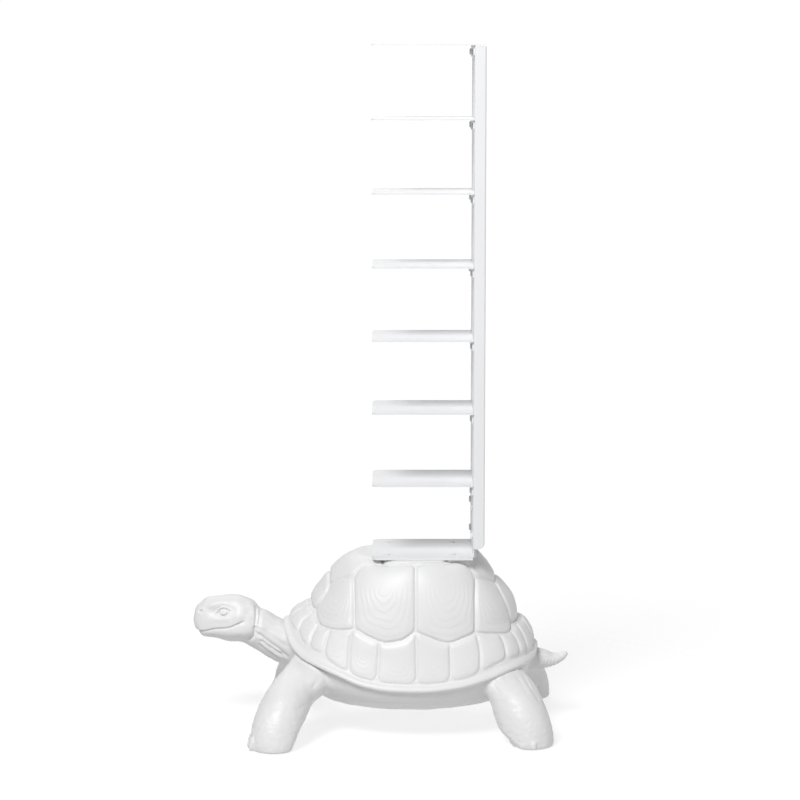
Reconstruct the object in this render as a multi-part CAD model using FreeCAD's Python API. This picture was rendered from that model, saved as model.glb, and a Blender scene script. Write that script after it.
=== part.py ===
"""Tower bookshelf standing on the back of a tortoise.

A hollow moulded tortoise is the base. Its crown is flattened to a seat that takes a bent
steel foot bracket. A lipped sheet-steel channel (the spine) is bolted to the bracket, and
thin steel shelf plates are bolted to the spine one above another.

Millimetres, +Z up, origin on the floor under the middle of the bounding box. The tortoise
looks along -X, its left side faces -Y, and the spine stands over its hindquarters.
"""
import FreeCAD, Part
import math
import os

V = FreeCAD.Vector

# ---------------------------------------------------------------- driving dimensions
TOTAL_H = 1040.0          # floor to the top face of the top shelf

# shell of the tortoise
XC = 45.0                 # middle of the shell along X
SHELL_A = 195.0           # half length of the shell's rim
SHELL_B = 151.0           # half width of the shell's rim
SHELL_N = 2.3             # roundness of the rim in plan
SHELL_TOP = 270.5         # crown before it is flattened
SEAT_Z = 267.0            # flat seat on the crown
BELLY_Z = 41.0            # lowest part of the belly
RIM_EDGE = 6.0            # thickness of the shell's edge
WALL = 5.0                # moulded wall
SOLE_Z = 1.0              # underside of the soles
PAD_R, PAD_T = 20.0, 3.0  # rubber pads, let into pockets in the soles

# bracket, spine and shelves
BRACKET_T = 4.0
SHELF_W = 150.0           # along Y
SHELF_T = 2.0
SHELF_X0 = -13.5          # free edge of every shelf
SPINE_X = 139.0           # face of the spine that the shelves meet
SPINE_D = 17.5            # depth of the spine's flanges
SPINE_T = 2.0
SPINE_R = 3.0             # outer bend radius
SPINE_LIP = 12.0          # returns at the back of the flanges
SPINE_FOOT_Z = 284.0      # lower end of the flanges
SHELF_CORNER_R = 12.0
SHELF_LIP_H = 19.0        # down-turned rear edge of a shelf
N_GAPS = 7                # spaces between the plates

PLATE0 = SEAT_Z + BRACKET_T                 # top face of the bracket, the lowest shelf
PITCH = (TOTAL_H - PLATE0) / N_GAPS

SCREW_Y = 45.0            # shelf screws, each side of the middle
M5_R, M5_HOLE_R = 2.5, 2.75
M6_R, M6_HOLE_R = 3.0, 3.3
M8_R, M8_HOLE_R = 4.0, 4.5
SEAT_BOLT_X = (12.0, 112.0)
SEAT_BOLT_Y = 48.0
INSERT_R, INSERT_L = 6.5, 22.0
SPINE_BOLT_Y = 40.0
SPINE_BOLT_Z = (297.0, 341.0)
UPSTAND_TOP = 358.0
VENT_X, VENT_R = 45.0, 12.0


# ---------------------------------------------------------------- small maths
def pchip(xs, ys):
    """Smooth interpolation through a table without overshoot."""
    n = len(xs)
    h = [xs[i + 1] - xs[i] for i in range(n - 1)]
    d = [(ys[i + 1] - ys[i]) / h[i] for i in range(n - 1)]
    m = [d[0]] + [0.0] * (n - 2) + [d[-1]]
    for i in range(1, n - 1):
        if d[i - 1] * d[i] > 0:
            w1, w2 = 2 * h[i] + h[i - 1], h[i] + 2 * h[i - 1]
            m[i] = (w1 + w2) / (w1 / d[i - 1] + w2 / d[i])

    def f(x):
        if x <= xs[0]:
            return ys[0]
        if x >= xs[-1]:
            return ys[-1]
        i = max(k for k in range(n - 1) if xs[k] <= x)
        t = (x - xs[i]) / h[i]
        t2, t3 = t * t, t * t * t
        return (
            (2 * t3 - 3 * t2 + 1) * ys[i]
            + (t3 - 2 * t2 + t) * h[i] * m[i]
            + (-2 * t3 + 3 * t2) * ys[i + 1]
            + (t3 - t2) * h[i] * m[i + 1]
        )

    return f


# height of the shell's rim against the angle round the shell, 0 at the tail, 180 at the neck
RIM_Z = pchip(
    [0, 8, 15, 25, 36, 48, 65, 85, 100, 116, 132, 141, 150, 158, 165, 175, 180],
    [126, 122, 117, 114, 110, 101, 91, 87, 88, 94, 110, 118, 125, 135, 147, 160, 162],
)
# rise of the shell from the rim (0) to the crown (1) against the share of the way out to the rim
RISE = (
    pchip([0, 0.40, 0.5025, 0.594, 0.673, 0.752, 0.807, 0.839, 0.855, 0.918, 0.964, 0.989, 1.0],
          [1, 1, 0.991, 0.885, 0.745, 0.62, 0.513, 0.407, 0.331, 0.248, 0.142, 0.045, 0]),
    pchip([0, 0.46, 0.535, 0.60, 0.70, 0.77, 0.825, 0.86, 0.873, 0.89, 0.92, 0.967, 1.0],
          [1, 1, 0.995, 0.965, 0.875, 0.75, 0.59, 0.44, 0.375, 0.31, 0.20, 0.07, 0]),
    pchip([0, 0.36, 0.487, 0.613, 0.66, 0.715, 0.785, 0.812, 0.85, 0.90, 0.96, 1.0],
          [1, 1, 0.93, 0.775, 0.685, 0.545, 0.385, 0.29, 0.235, 0.185, 0.09, 0]),
)
# fall of the underside from the rim (1) to the belly (0)
UNDER = pchip([0, 0.55, 0.70, 0.82, 0.90, 0.95, 0.985, 1.0],
              [0, 0.0, 0.07, 0.256, 0.51, 0.74, 0.93, 1.0])


def key_weights(phi):
    """Shares of the tail, side and neck profiles at an angle of 0 to 180 degrees."""
    w = [0.0, 0.0, 0.0]
    k = 0 if phi < 90 else 1
    u = (phi - 90 * k) / 90.0
    c = [(-u**3 + 2 * u**2 - u) / 2, (3 * u**3 - 5 * u**2 + 2) / 2,
         (-3 * u**3 + 4 * u**2 + u) / 2, (u**3 - u**2) / 2]
    for j, cc in zip((k - 1, k, k + 1, k + 2), c):
        j = abs(j)
        j = 4 - j if j > 2 else j
        w[j] += cc
    return w


def plan(x, y):
    """Share of the way from the shell's middle to its rim, and the angle."""
    q = (abs((x - XC) / SHELL_A) ** SHELL_N + abs(y / SHELL_B) ** SHELL_N) ** (1 / SHELL_N)
    return q, math.degrees(math.atan2(abs(y), x - XC))


def shell_z(x, y, inset=0.0):
    q, phi = plan(x, y)
    if inset:
        q = q * (1 + inset / 150.0)
    q = min(q, 1.0)
    g = sum(w * f(q) for w, f in zip(key_weights(phi), RISE))
    r = RIM_Z(phi)
    return r + (SHELL_TOP - r) * g - 0.9 * inset


def belly_z(x, y, inset=0.0):
    q, phi = plan(x, y)
    if inset:
        q = q * (1 + inset / 110.0)
    q = min(q, 1.0)
    return BELLY_Z + (RIM_Z(phi) - RIM_EDGE - BELLY_Z) * UNDER(q) + inset


# ---------------------------------------------------------------- solid helpers
def closed_curve(points):
    c = Part.BSplineCurve()
    c.interpolate(points, PeriodicFlag=True)
    return Part.Wire([c.toShape()])


def loft(wires, ruled=True):
    s = Part.makeLoft(wires, True, ruled)
    if s.Volume < 0:
        s.reverse()
    return s


def bands(rings):
    """A solid of ruled bands between closed curves that all start on the same side, with flat ends."""
    faces = [Part.Face(rings[0]), Part.Face(rings[-1])]
    for a, b in zip(rings, rings[1:]):
        faces += Part.makeRuledSurface(a.Edges[0], b.Edges[0], 1).Faces
    shell = Part.makeShell(faces)
    shell.sewShape()
    s = Part.makeSolid(shell)
    if s.Volume < 0:
        s.reverse()
    return s


def ring(centre, direction, ru, rv, flat=False, n=14):
    """Closed curve round a centre, square to a direction. ru lies along X's side, rv along Y's."""
    d = V(0, 0, -1) if flat else V(*direction).normalize()
    u = V(1, 0, 0) - d * d.dot(V(1, 0, 0))
    if u.Length < 0.3:
        u = V(0, 0, 1) - d * d.dot(V(0, 0, 1))
    u.normalize()
    v = d.cross(u)
    c = V(*centre)
    return closed_curve([c + u * (ru * math.cos(2 * math.pi * k / n)) + v * (rv * math.sin(2 * math.pi * k / n))
                         for k in range(n)])


def half_width(x, qmax):
    """Largest Y on a cut through the shell where the plan share is qmax."""
    t = abs((x - XC) / SHELL_A) ** SHELL_N
    left = qmax**SHELL_N - t
    return SHELL_B * left ** (1 / SHELL_N) if left > 0 else 0.0


def open_curve(points):
    c = Part.BSplineCurve()
    c.interpolate(points)
    return c.toShape()


def shell_section(x, qmax, inset):
    """Closed cut through the shell at x: one curve over the top, one under the belly."""
    w = half_width(x, qmax)
    n = 16
    top, under = [], []
    for k in range(n + 1):
        y = -w * math.cos(math.pi * k / n)
        top.append(V(x, y, shell_z(x, y, inset)))
        under.append(V(x, y, belly_z(x, y, inset)))
    for k in (0, n):
        m = (top[k] + under[k]) * 0.5
        top[k] = m
        under[k] = m
    return Part.Wire([open_curve(top), open_curve(under[::-1])])


def shell_solid(inset=0.0):
    qmax = 1.0 if not inset else 0.955
    xs = [-149.0, -145, -139, -130, -118, -104, -88, -70, -50, -25, 0, 30, 60, 90, 115, 135, 152, 168, 183, 197, 210, 221, 230, 236, 239.3]
    if inset:
        xs = [-133.0, -126, -116, -103, -88, -70, -50, -25, 0, 30, 60, 90, 115, 135, 152, 168, 183, 197, 208, 216, 222.0]
    return loft([shell_section(x, qmax, inset) for x in xs])


def smooth(stations, steps):
    """Stations along a smooth path through the given ones (tuples of numbers, nested or not)."""
    def flat_(s):
        return [v for q in s for v in (flat_(q) if isinstance(q, tuple) else [q])]

    def like(s, it):
        return tuple(like(q, it) if isinstance(q, tuple) else next(it) for q in s)

    rows = [flat_(s) for s in stations]
    out = []
    for i in range(len(rows) - 1):
        p0, p1, p2, p3 = rows[max(i - 1, 0)], rows[i], rows[i + 1], rows[min(i + 2, len(rows) - 1)]
        for k in range(steps):
            t = k / steps
            out.append([0.5 * (2 * b + (c - a) * t + (2 * a - 5 * b + 4 * c - d) * t * t + (3 * b - a - 3 * c + d) * t**3)
                        for a, b, c, d in zip(p0, p1, p2, p3)])
    out.append(rows[-1])
    return [like(stations[0], iter(r)) for r in out]


def limb(axis, radii, sole, sole_half, inset=0.0):
    """A leg: rings square to a bent axis, ending in a flat sole."""
    st = smooth([(p, r) for p, r in zip(axis, radii)], 2)
    axis, radii = [q[0] for q in st], [q[1] for q in st]
    wires = []
    for i, (p, r) in enumerate(zip(axis, radii)):
        a = axis[max(i - 1, 0)]
        b = axis[min(i + 1, len(axis) - 1)]
        d = V(*[b[k] - a[k] for k in range(3)]).normalize()
        # the rings come level towards the sole
        f = min(max((62.0 - p[2]) / 45.0, 0.0), 1.0)
        d = d * (1 - f) + V(0, 0, -1) * f
        wires.append(ring(p, (d.x, d.y, d.z), r - inset, r - inset))
    for z, s in ((13.0, 1.0), (SOLE_Z + 4.0, 0.93), (SOLE_Z, 0.80)):
        if inset:
            z = max(z, PAD_T + inset)
            if len(wires) > len(axis) + 1:
                break
            if s < 1:
                s = 0.95
        wires.append(ring((sole[0], sole[1], z), None, sole_half[0] * s - inset, sole_half[1] * s - inset, flat=True))
    return bands(wires)


# legs: near is the tortoise's left, far its right. The far legs are a little out of step.
FRONT_L = [(-103, -67, 100), (-122, -97, 82), (-137, -124, 66), (-147, -145, 50), (-153, -157, 36)]
FRONT_R = [(-96.7, 67, 100), (-108, 97, 82), (-118.5, 124, 66), (-128, 145, 50), (-134, 157, 36)]
HIND_L = [(163, -62, 112), (184, -90, 91), (200, -116, 67), (210, -133, 44), (217, -141, 30)]
HIND_R = [(164, 62, 112), (189.3, 90, 91), (209.7, 116, 67), (220, 133, 44), (227, 141, 30)]
FRONT_R_ = [34.0, 34.0, 34.7, 36.7, 37.6]
HIND_R_ = [35.0, 34.8, 36.8, 38.3, 38.2]
SOLE_FL, SOLE_FR = (-158.0, -167.5), (-139.0, 167.5)
SOLE_HL, SOLE_HR = (224.5, -147.0), (234.5, 147.0)
SOLE_HALF = (36.0, 36.0)
PADS = (("foot_pad_front_left", -160.0, -167.0), ("foot_pad_front_right", -141.0, 167.0),
        ("foot_pad_hind_left", 227.0, -147.0), ("foot_pad_hind_right", 237.0, 147.0))

# head: station X, lowest Z, highest Z, half width
HEAD = [(-289.0, 151.0, 168.0, 8.0), (-286.5, 144.0, 177.0, 13.0), (-281.0, 136.5, 184.0, 16.5),
        (-272.0, 130.0, 192.0, 20.0), (-258.0, 128.5, 195.0, 24.5), (-240.0, 124.5, 196.8, 28.5),
        (-222.0, 122.5, 197.5, 31.5), (-208.0, 122.0, 193.5, 31.5), (-196.0, 122.0, 186.0, 28.0),
        (-188.0, 126.0, 172.0, 20.0)]
NECK = [((-210, 0, 152), 25.0), ((-190, 0, 145), 29.5), ((-176, 0, 137.5), 30.5), ((-163, 0, 130.5), 31.5),
        ((-145, 0, 123.5), 34.5), ((-100, 0, 113), 40.0)]
TAIL = [((205, 0, 104), 22.0), ((232, 0, 100), 19.5), ((248, 0, 96.5), 14.5), ((263, 0, 96), 9.5),
        ((275, 0, 99), 6.6), ((283, 0, 103.5), 4.6), ((287.2, 0, 106.5), 2.6)]


def head(inset=0.0):
    wires = []
    for x, lo, hi, w in smooth(HEAD, 2):
        h = (hi - lo) / 2
        if inset and (h - inset < 10 or w - inset < 8):
            continue
        c = V(x, 0, (lo + hi) / 2)
        pts = []
        for k in range(16):
            a = 2 * math.pi * k / 16
            pts.append(c + V(0, (w - inset) * math.cos(a), (h - inset) * math.sin(a)))
        wires.append(closed_curve(pts))
    return loft(wires)


def tube(stations, inset=0.0):
    wires = []
    stations = smooth(stations, 3)
    pts = [p for p, r in stations]
    for i, (p, r) in enumerate(stations):
        if r - inset < 3.0 and inset:
            continue
        a, b = pts[max(i - 1, 0)], pts[min(i + 1, len(pts) - 1)]
        d = V(*[b[k] - a[k] for k in range(3)]).normalize()
        u = d.cross(V(0, 1, 0)).normalize()
        v = V(0, 1, 0)
        c = V(*p)
        wires.append(closed_curve([c + (u * math.cos(2 * math.pi * k / 14) + v * math.sin(2 * math.pi * k / 14)) * (r - inset)
                                   for k in range(14)]))
    return loft(wires)


def fuse(shapes):
    s = shapes[0]
    for t in shapes[1:]:
        s = s.fuse(t)
    return s


def cyl(x, y, z, r, h, axis=(0, 0, 1)):
    return Part.makeCylinder(r, h, V(x, y, z), V(*axis))


def prism(points, z, h):
    return Part.Face(Part.makePolygon([V(*p, z) for p in points + points[:1]])).extrude(V(0, 0, h))


def hexagon(across):
    r = across / math.sqrt(3)
    return [(r * math.cos(math.radians(60 * k)), r * math.sin(math.radians(60 * k))) for k in range(6)]


def turned(shape, axis, pos):
    """A shape made along +Z from the origin, laid along an axis at a place."""
    s = shape.copy()
    rot = FreeCAD.Rotation(V(0, 0, 1), V(*axis))
    s.Placement = FreeCAD.Placement(V(*pos), rot)
    return s


def one_solid(s, name):
    s = s.removeSplitter() if len(s.Solids) == 1 and name not in KEEP_SPLIT else s
    if len(s.Solids) == 1:
        s = s.Solids[0]
    return s


KEEP_SPLIT = {"tortoise_body"}
OUT = {}


def put(name, shape):
    OUT[name] = shape


# ---------------------------------------------------------------- tortoise
def legs(inset=0.0):
    return [
        limb(FRONT_L, FRONT_R_, SOLE_FL, SOLE_HALF, inset),
        limb(FRONT_R, FRONT_R_, SOLE_FR, SOLE_HALF, inset),
        limb(HIND_L, HIND_R_, SOLE_HL, SOLE_HALF, inset),
        limb(HIND_R, HIND_R_, SOLE_HR, SOLE_HALF, inset),
    ]


def build_body():
    outer = [shell_solid()] + legs() + [tube(NECK), head(), tube(TAIL)]
    body = fuse(outer)
    body = body.cut(Part.makeBox(700, 500, 60, V(-330, -250, SEAT_Z)))
    inner = [shell_solid(WALL)] + legs(WALL) + [tube(NECK, WALL), head(WALL)]
    cavity = fuse(inner)
    cavity = cavity.cut(Part.makeBox(700, 500, 60, V(-330, -250, SEAT_Z - WALL - 1)))
    # thickened posts under the seat, for the threaded inserts
    for x in SEAT_BOLT_X:
        for y in (-SEAT_BOLT_Y, SEAT_BOLT_Y):
            cavity = cavity.cut(cyl(x, y, SEAT_Z - 34, 13, 60))
    # boss round the vent in the belly
    cavity = cavity.cut(cyl(VENT_X, 0, BELLY_Z - 5, VENT_R + 8, 5 + 10))
    body = body.cut(cavity)
    for x in SEAT_BOLT_X:
        for y in (-SEAT_BOLT_Y, SEAT_BOLT_Y):
            body = body.cut(cyl(x, y, SEAT_Z - INSERT_L, INSERT_R, INSERT_L + 5))
            body = body.cut(cyl(x, y, SEAT_Z - INSERT_L - 6, M8_HOLE_R, 8))
    body = body.cut(cyl(VENT_X, 0, BELLY_Z - 5, VENT_R, 40))
    body = body.cut(cyl(VENT_X, 0, BELLY_Z - 5, VENT_R + 4, 5 + 1.5))
    # pockets for the pads
    for name, x, y in PADS:
        body = body.cut(cyl(x, y, -5, PAD_R + 0.3, PAD_T + 5))
    return body


if __name__ == "__main__":
    import time

    t0 = time.time()
    os.makedirs("parts", exist_ok=True)
    body = build_body()
    print("body", body.isValid(), len(body.Solids), round(body.Volume / 1e3), "cm3", round(time.time() - t0, 1), "s", body.BoundBox)
    put("tortoise_body", body)

    # vent plug: a round plug with a wide head, pushed into the belly boss
    plug = cyl(VENT_X, 0, BELLY_Z - 0.5, VENT_R + 3.7, 2.0).fuse(cyl(VENT_X, 0, BELLY_Z + 1.5, VENT_R - 0.1, 8.0))
    plug = plug.cut(cyl(VENT_X, 0, BELLY_Z + 3.5, VENT_R - 2.5, 6.0))
    put("vent_plug", plug)

    # brass inserts moulded into the seat
    ins = []
    for x in SEAT_BOLT_X:
        for y in (-SEAT_BOLT_Y, SEAT_BOLT_Y):
            ins.append(cyl(x, y, SEAT_Z - INSERT_L, INSERT_R, INSERT_L).cut(cyl(x, y, SEAT_Z - INSERT_L, M8_R, INSERT_L)))
    put("seat_inserts", Part.makeCompound(ins))

    # foot bracket: the lowest shelf, bent up behind the spine's web
    z0, z1 = SEAT_Z, PLATE0
    xb = SPINE_X + SPINE_T                       # back face of the web
    plate = Part.makeBox(xb - 2.0 - SHELF_X0, SHELF_W, BRACKET_T, V(SHELF_X0, -SHELF_W / 2, z0))
    edges = [e for e in plate.Edges if abs(e.BoundBox.XMin - SHELF_X0) < 1e-6 and abs(e.BoundBox.XMax - SHELF_X0) < 1e-6
             and e.BoundBox.ZLength > 1]
    plate = plate.makeFillet(SHELF_CORNER_R, edges)
    up_w = 116.0
    tongue = Part.makeBox(2.0 + BRACKET_T, up_w, BRACKET_T, V(xb - 2.0, -up_w / 2, z0))
    up = Part.makeBox(BRACKET_T, up_w, UPSTAND_TOP - z0, V(xb, -up_w / 2, z0))
    bracket = plate.fuse(tongue).fuse(up).removeSplitter()
    outer_e = [e for e in bracket.Edges if abs(e.BoundBox.XMax - (xb + BRACKET_T)) < 1e-6 and abs(e.BoundBox.XMin - (xb + BRACKET_T)) < 1e-6
               and abs(e.BoundBox.ZMax - z0) < 1e-6 and e.BoundBox.YLength > 100]
    bracket = bracket.makeFillet(3.9, outer_e)
    top_e = [e for e in bracket.Edges if e.BoundBox.XLength > 3.9 and e.BoundBox.XLength < 4.1 and e.BoundBox.ZMin > UPSTAND_TOP - 0.01]
    bracket = bracket.makeFillet(10.0, top_e)
    for x in SEAT_BOLT_X:
        for y in (-SEAT_BOLT_Y, SEAT_BOLT_Y):
            bracket = bracket.cut(cyl(x, y, z0 - 1, M8_HOLE_R, 10))
            bracket = bracket.cut(Part.makeCone(M8_HOLE_R, 8.3, 3.8, V(x, y, z1 - 3.8)))
            bracket = bracket.cut(cyl(x, y, z1 - 0.001, 8.3, 1))
    for z in SPINE_BOLT_Z:
        for y in (-SPINE_BOLT_Y, SPINE_BOLT_Y):
            bracket = bracket.cut(cyl(xb - 1, y, z, M6_HOLE_R, 10, (1, 0, 0)))
    put("foot_bracket", bracket)

    # countersunk M8 screws that hold the bracket on the seat
    sc = []
    for x in SEAT_BOLT_X:
        for y in (-SEAT_BOLT_Y, SEAT_BOLT_Y):
            s = cyl(x, y, z1 - 25, M8_R, 25.0).fuse(Part.makeCone(M8_R, 8.0, 3.9, V(x, y, z1 - 4.0)))
            s = s.fuse(cyl(x, y, z1 - 0.15, 8.0, 0.05))
            s = s.common(Part.makeBox(30, 30, 40, V(x - 15, y - 15, z1 - 40.1)))
            s = s.cut(prism([(px + x, py + y) for px, py in hexagon(5.0)], z1 - 3.0, 4))
            sc.append(s.removeSplitter())
    put("seat_screws", Part.makeCompound(sc))

    # spine: lipped channel, open to the back
    web_top = TOTAL_H - SHELF_T
    flange_top = web_top - 1.6
    xs, xe = SPINE_X, SPINE_X + SPINE_D
    hw = SHELF_W / 2
    outer = Part.makeBox(SPINE_D, SHELF_W, web_top - SPINE_FOOT_Z, V(xs, -hw, SPINE_FOOT_Z))
    ve = [e for e in outer.Edges if e.BoundBox.ZLength > 100]
    outer = outer.makeFillet(SPINE_R, ve)
    inner = Part.makeBox(SPINE_D - 2 * SPINE_T, SHELF_W - 2 * SPINE_T, web_top - SPINE_FOOT_Z + 20, V(xs + SPINE_T, -hw + SPINE_T, SPINE_FOOT_Z - 10))
    ve = [e for e in inner.Edges if e.BoundBox.ZLength > 100]
    inner = inner.makeFillet(SPINE_R - SPINE_T, ve)
    spine = outer.cut(inner)
    spine = spine.cut(Part.makeBox(SPINE_T + 2, SHELF_W - 2 * SPINE_LIP, 900, V(xe - SPINE_T - 0.5, -hw + SPINE_LIP, SPINE_FOOT_Z - 10)))
    # shadow gap over the flanges and returns, under the top shelf
    spine = spine.cut(Part.makeBox(SPINE_D, SHELF_W + 2, 5, V(xs + SPINE_T + 1.0, -hw - 1, flange_top)))
    # rounded lower ends of the flanges
    R = 9.0
    corner = Part.makeBox(R + 1, SHELF_W + 2, R + 1, V(xe - R, -hw - 1, SPINE_FOOT_Z - 1)).cut(cyl(xe - R, -hw - 2, SPINE_FOOT_Z + R, R, SHELF_W + 4, (0, 1, 0)))
    spine = spine.cut(corner)
    # the web goes on down to the bracket, between the flanges
    foot = Part.makeBox(SPINE_T, SHELF_W - 2 * 6.0, SPINE_FOOT_Z - PLATE0 + 1, V(xs, -hw + 6.0, PLATE0))
    spine = spine.fuse(foot).removeSplitter()
    for z in SPINE_BOLT_Z:
        for y in (-SPINE_BOLT_Y, SPINE_BOLT_Y):
            spine = spine.cut(cyl(xs - 1, y, z, M6_HOLE_R, 6, (1, 0, 0)))
    shelf_tops = [PLATE0 + PITCH * k for k in range(1, N_GAPS + 1)]
    for zt in shelf_tops:
        for y in (-SCREW_Y, SCREW_Y):
            spine = spine.cut(cyl(xs - 1, y, zt - SHELF_T - 9.5, M5_HOLE_R, 6, (1, 0, 0)))
    put("spine", spine)

    # bolts that hold the spine to the bracket's upstand: button heads in front, nuts behind
    def button_screw(r, head_r, head_h, length, socket):
        head_ = cyl(0, 0, 0, head_r, head_h)
        e = [e for e in head_.Edges if abs(e.BoundBox.ZMin - head_h) < 1e-6 and abs(e.BoundBox.ZMax - head_h) < 1e-6]
        head_ = head_.makeFillet(head_h * 0.62, e)
        s = head_.fuse(cyl(0, 0, -length, r, length))
        return s.cut(prism(hexagon(socket), head_h * 0.35, head_h)).removeSplitter()

    def nut(r, across, t):
        n_ = prism(hexagon(across), 0, t).cut(cyl(0, 0, -1, r, t + 2))
        n_ = n_.common(cyl(0, 0, 0, across / 2 * 1.12, t))
        return n_

    sb, nb = [], []
    for z in SPINE_BOLT_Z:
        for y in (-SPINE_BOLT_Y, SPINE_BOLT_Y):
            sb.append(turned(button_screw(M6_R, 5.25, 3.3, SPINE_T + BRACKET_T + 6.5, 4.0), (-1, 0, 0), (xs, y, z)))
            nb.append(turned(nut(M6_R, 10.0, 5.0), (1, 0, 0), (xb + BRACKET_T, y, z)))
    put("spine_bolts", Part.makeCompound(sb))
    put("spine_nuts", Part.makeCompound(nb))

    # shelves: flat plates with a down-turned rear edge
    def shelf(zt, x_end):
        p = Part.makeBox(x_end - SHELF_X0, SHELF_W, SHELF_T, V(SHELF_X0, -hw, zt - SHELF_T))
        es = [e for e in p.Edges if abs(e.BoundBox.XMax - SHELF_X0) < 1e-6 and e.BoundBox.ZLength > 1]
        p = p.makeFillet(SHELF_CORNER_R, es)
        lip_w = SHELF_W - 8.0
        lip = Part.makeBox(SHELF_T, lip_w, SHELF_LIP_H, V(SPINE_X - SHELF_T, -lip_w / 2, zt - SHELF_LIP_H))
        p = p.fuse(lip).removeSplitter()
        ve = [e for e in p.Edges if abs(e.BoundBox.ZLength) < 1e-6 and abs(e.BoundBox.XLength - SHELF_T) < 1e-3 and abs(e.BoundBox.ZMin - (zt - SHELF_LIP_H)) < 1e-3]
        if ve:
            p = p.makeFillet(6.0, ve)
        for y in (-SCREW_Y, SCREW_Y):
            p = p.cut(cyl(SPINE_X - SHELF_T - 1, y, zt - SHELF_T - 9.5, M5_HOLE_R, SHELF_T + 2, (1, 0, 0)))
        return p

    s5, n5 = [], []
    for k, zt in enumerate(shelf_tops, 1):
        top = k == N_GAPS
        put("top_shelf" if top else "shelf_%d" % k, shelf(zt, xe if top else SPINE_X))
        for y in (-SCREW_Y, SCREW_Y):
            z = zt - SHELF_T - 9.5
            s5.append(turned(button_screw(M5_R, 4.75, 2.75, SHELF_T + SPINE_T + 5.0, 3.0), (-1, 0, 0), (SPINE_X - SHELF_T, y, z)))
            n5.append(turned(nut(M5_R, 8.0, 4.0), (1, 0, 0), (xb, y, z)))
    put("shelf_screws", Part.makeCompound(s5))
    put("shelf_nuts", Part.makeCompound(n5))

    # rubber pads under the soles
    for name, x, y in PADS:
        pad = cyl(x, y, 0, PAD_R, PAD_T)
        e = [e for e in pad.Edges if abs(e.BoundBox.ZMax) < 1e-6]
        pad = pad.makeFillet(0.8, e)
        put(name, pad)

    for name, s in OUT.items():
        s = one_solid(s, name)
        bad = [i for i, q in enumerate(s.Solids) if not q.isValid() or q.Volume <= 0]
        print(name, "solids", len(s.Solids), "valid", not bad and s.isValid(), "cm3", round(s.Volume / 1e3, 2))
        s.exportStep("parts/%s.step" % name)
    bb = Part.makeCompound(list(OUT.values())).BoundBox
    print("box", [round(v, 2) for v in (bb.XMin, bb.XMax, bb.YMin, bb.YMax, bb.ZMin, bb.ZMax)], round(time.time() - t0, 1), "s")
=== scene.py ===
"""Tower bookshelf on a tortoise: the visual model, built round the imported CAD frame.

The tortoise is sculpted in numpy, in millimetres in the row frame. Its limbs, neck, head, tail and
belly are one implicit surface; its shell is a parametric sheet with raised plates. Both are then
worked over with folds, scales, claws and a face. Steel parts, fasteners and pads are the CAD nodes.
"""

import math

import bpy
import numpy as np
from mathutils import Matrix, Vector


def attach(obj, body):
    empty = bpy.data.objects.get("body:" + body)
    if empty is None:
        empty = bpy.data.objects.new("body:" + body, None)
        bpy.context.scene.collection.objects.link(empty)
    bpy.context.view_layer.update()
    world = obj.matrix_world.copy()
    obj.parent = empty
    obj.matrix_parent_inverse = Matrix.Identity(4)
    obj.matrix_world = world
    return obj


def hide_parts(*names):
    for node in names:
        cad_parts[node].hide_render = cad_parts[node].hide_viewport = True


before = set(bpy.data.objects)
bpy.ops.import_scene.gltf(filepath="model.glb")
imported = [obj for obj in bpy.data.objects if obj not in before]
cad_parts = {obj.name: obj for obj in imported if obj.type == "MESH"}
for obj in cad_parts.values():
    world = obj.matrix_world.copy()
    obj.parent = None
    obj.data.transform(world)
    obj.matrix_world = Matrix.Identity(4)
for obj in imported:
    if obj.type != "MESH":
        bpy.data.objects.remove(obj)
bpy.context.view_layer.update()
F = np.float32

# ------------------------------------------------------------------ dimensions, mm
XC, SHELL_A, SHELL_B, SHELL_N = 45.0, 195.0, 151.0, 2.3
SHELL_TOP, SEAT_Z, BELLY_Z, RIM_EDGE = 270.5, 267.0, 41.0, 6.0
SOLE_Z = 1.0
PADS, PAD_R = ((-160, -167), (-141, 167), (227, -147), (237, 147)), 20.0


def pchip(xs, ys):
    """Smooth interpolation through a table without overshoot, for arrays."""
    xs, ys = np.asarray(xs, float), np.asarray(ys, float)
    h = np.diff(xs)
    d = np.diff(ys) / h
    m = np.zeros(len(xs))
    m[0], m[-1] = d[0], d[-1]
    for i in range(1, len(xs) - 1):
        if d[i - 1] * d[i] > 0:
            w1, w2 = 2 * h[i] + h[i - 1], h[i] + 2 * h[i - 1]
            m[i] = (w1 + w2) / (w1 / d[i - 1] + w2 / d[i])

    def f(x):
        x = np.clip(np.asarray(x, float), xs[0], xs[-1])
        i = np.clip(np.searchsorted(xs, x, side="right") - 1, 0, len(xs) - 2)
        t = (x - xs[i]) / h[i]
        t2, t3 = t * t, t * t * t
        return (
            (2 * t3 - 3 * t2 + 1) * ys[i]
            + (t3 - 2 * t2 + t) * h[i] * m[i]
            + (-2 * t3 + 3 * t2) * ys[i + 1]
            + (t3 - t2) * h[i] * m[i + 1]
        )

    return f


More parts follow.
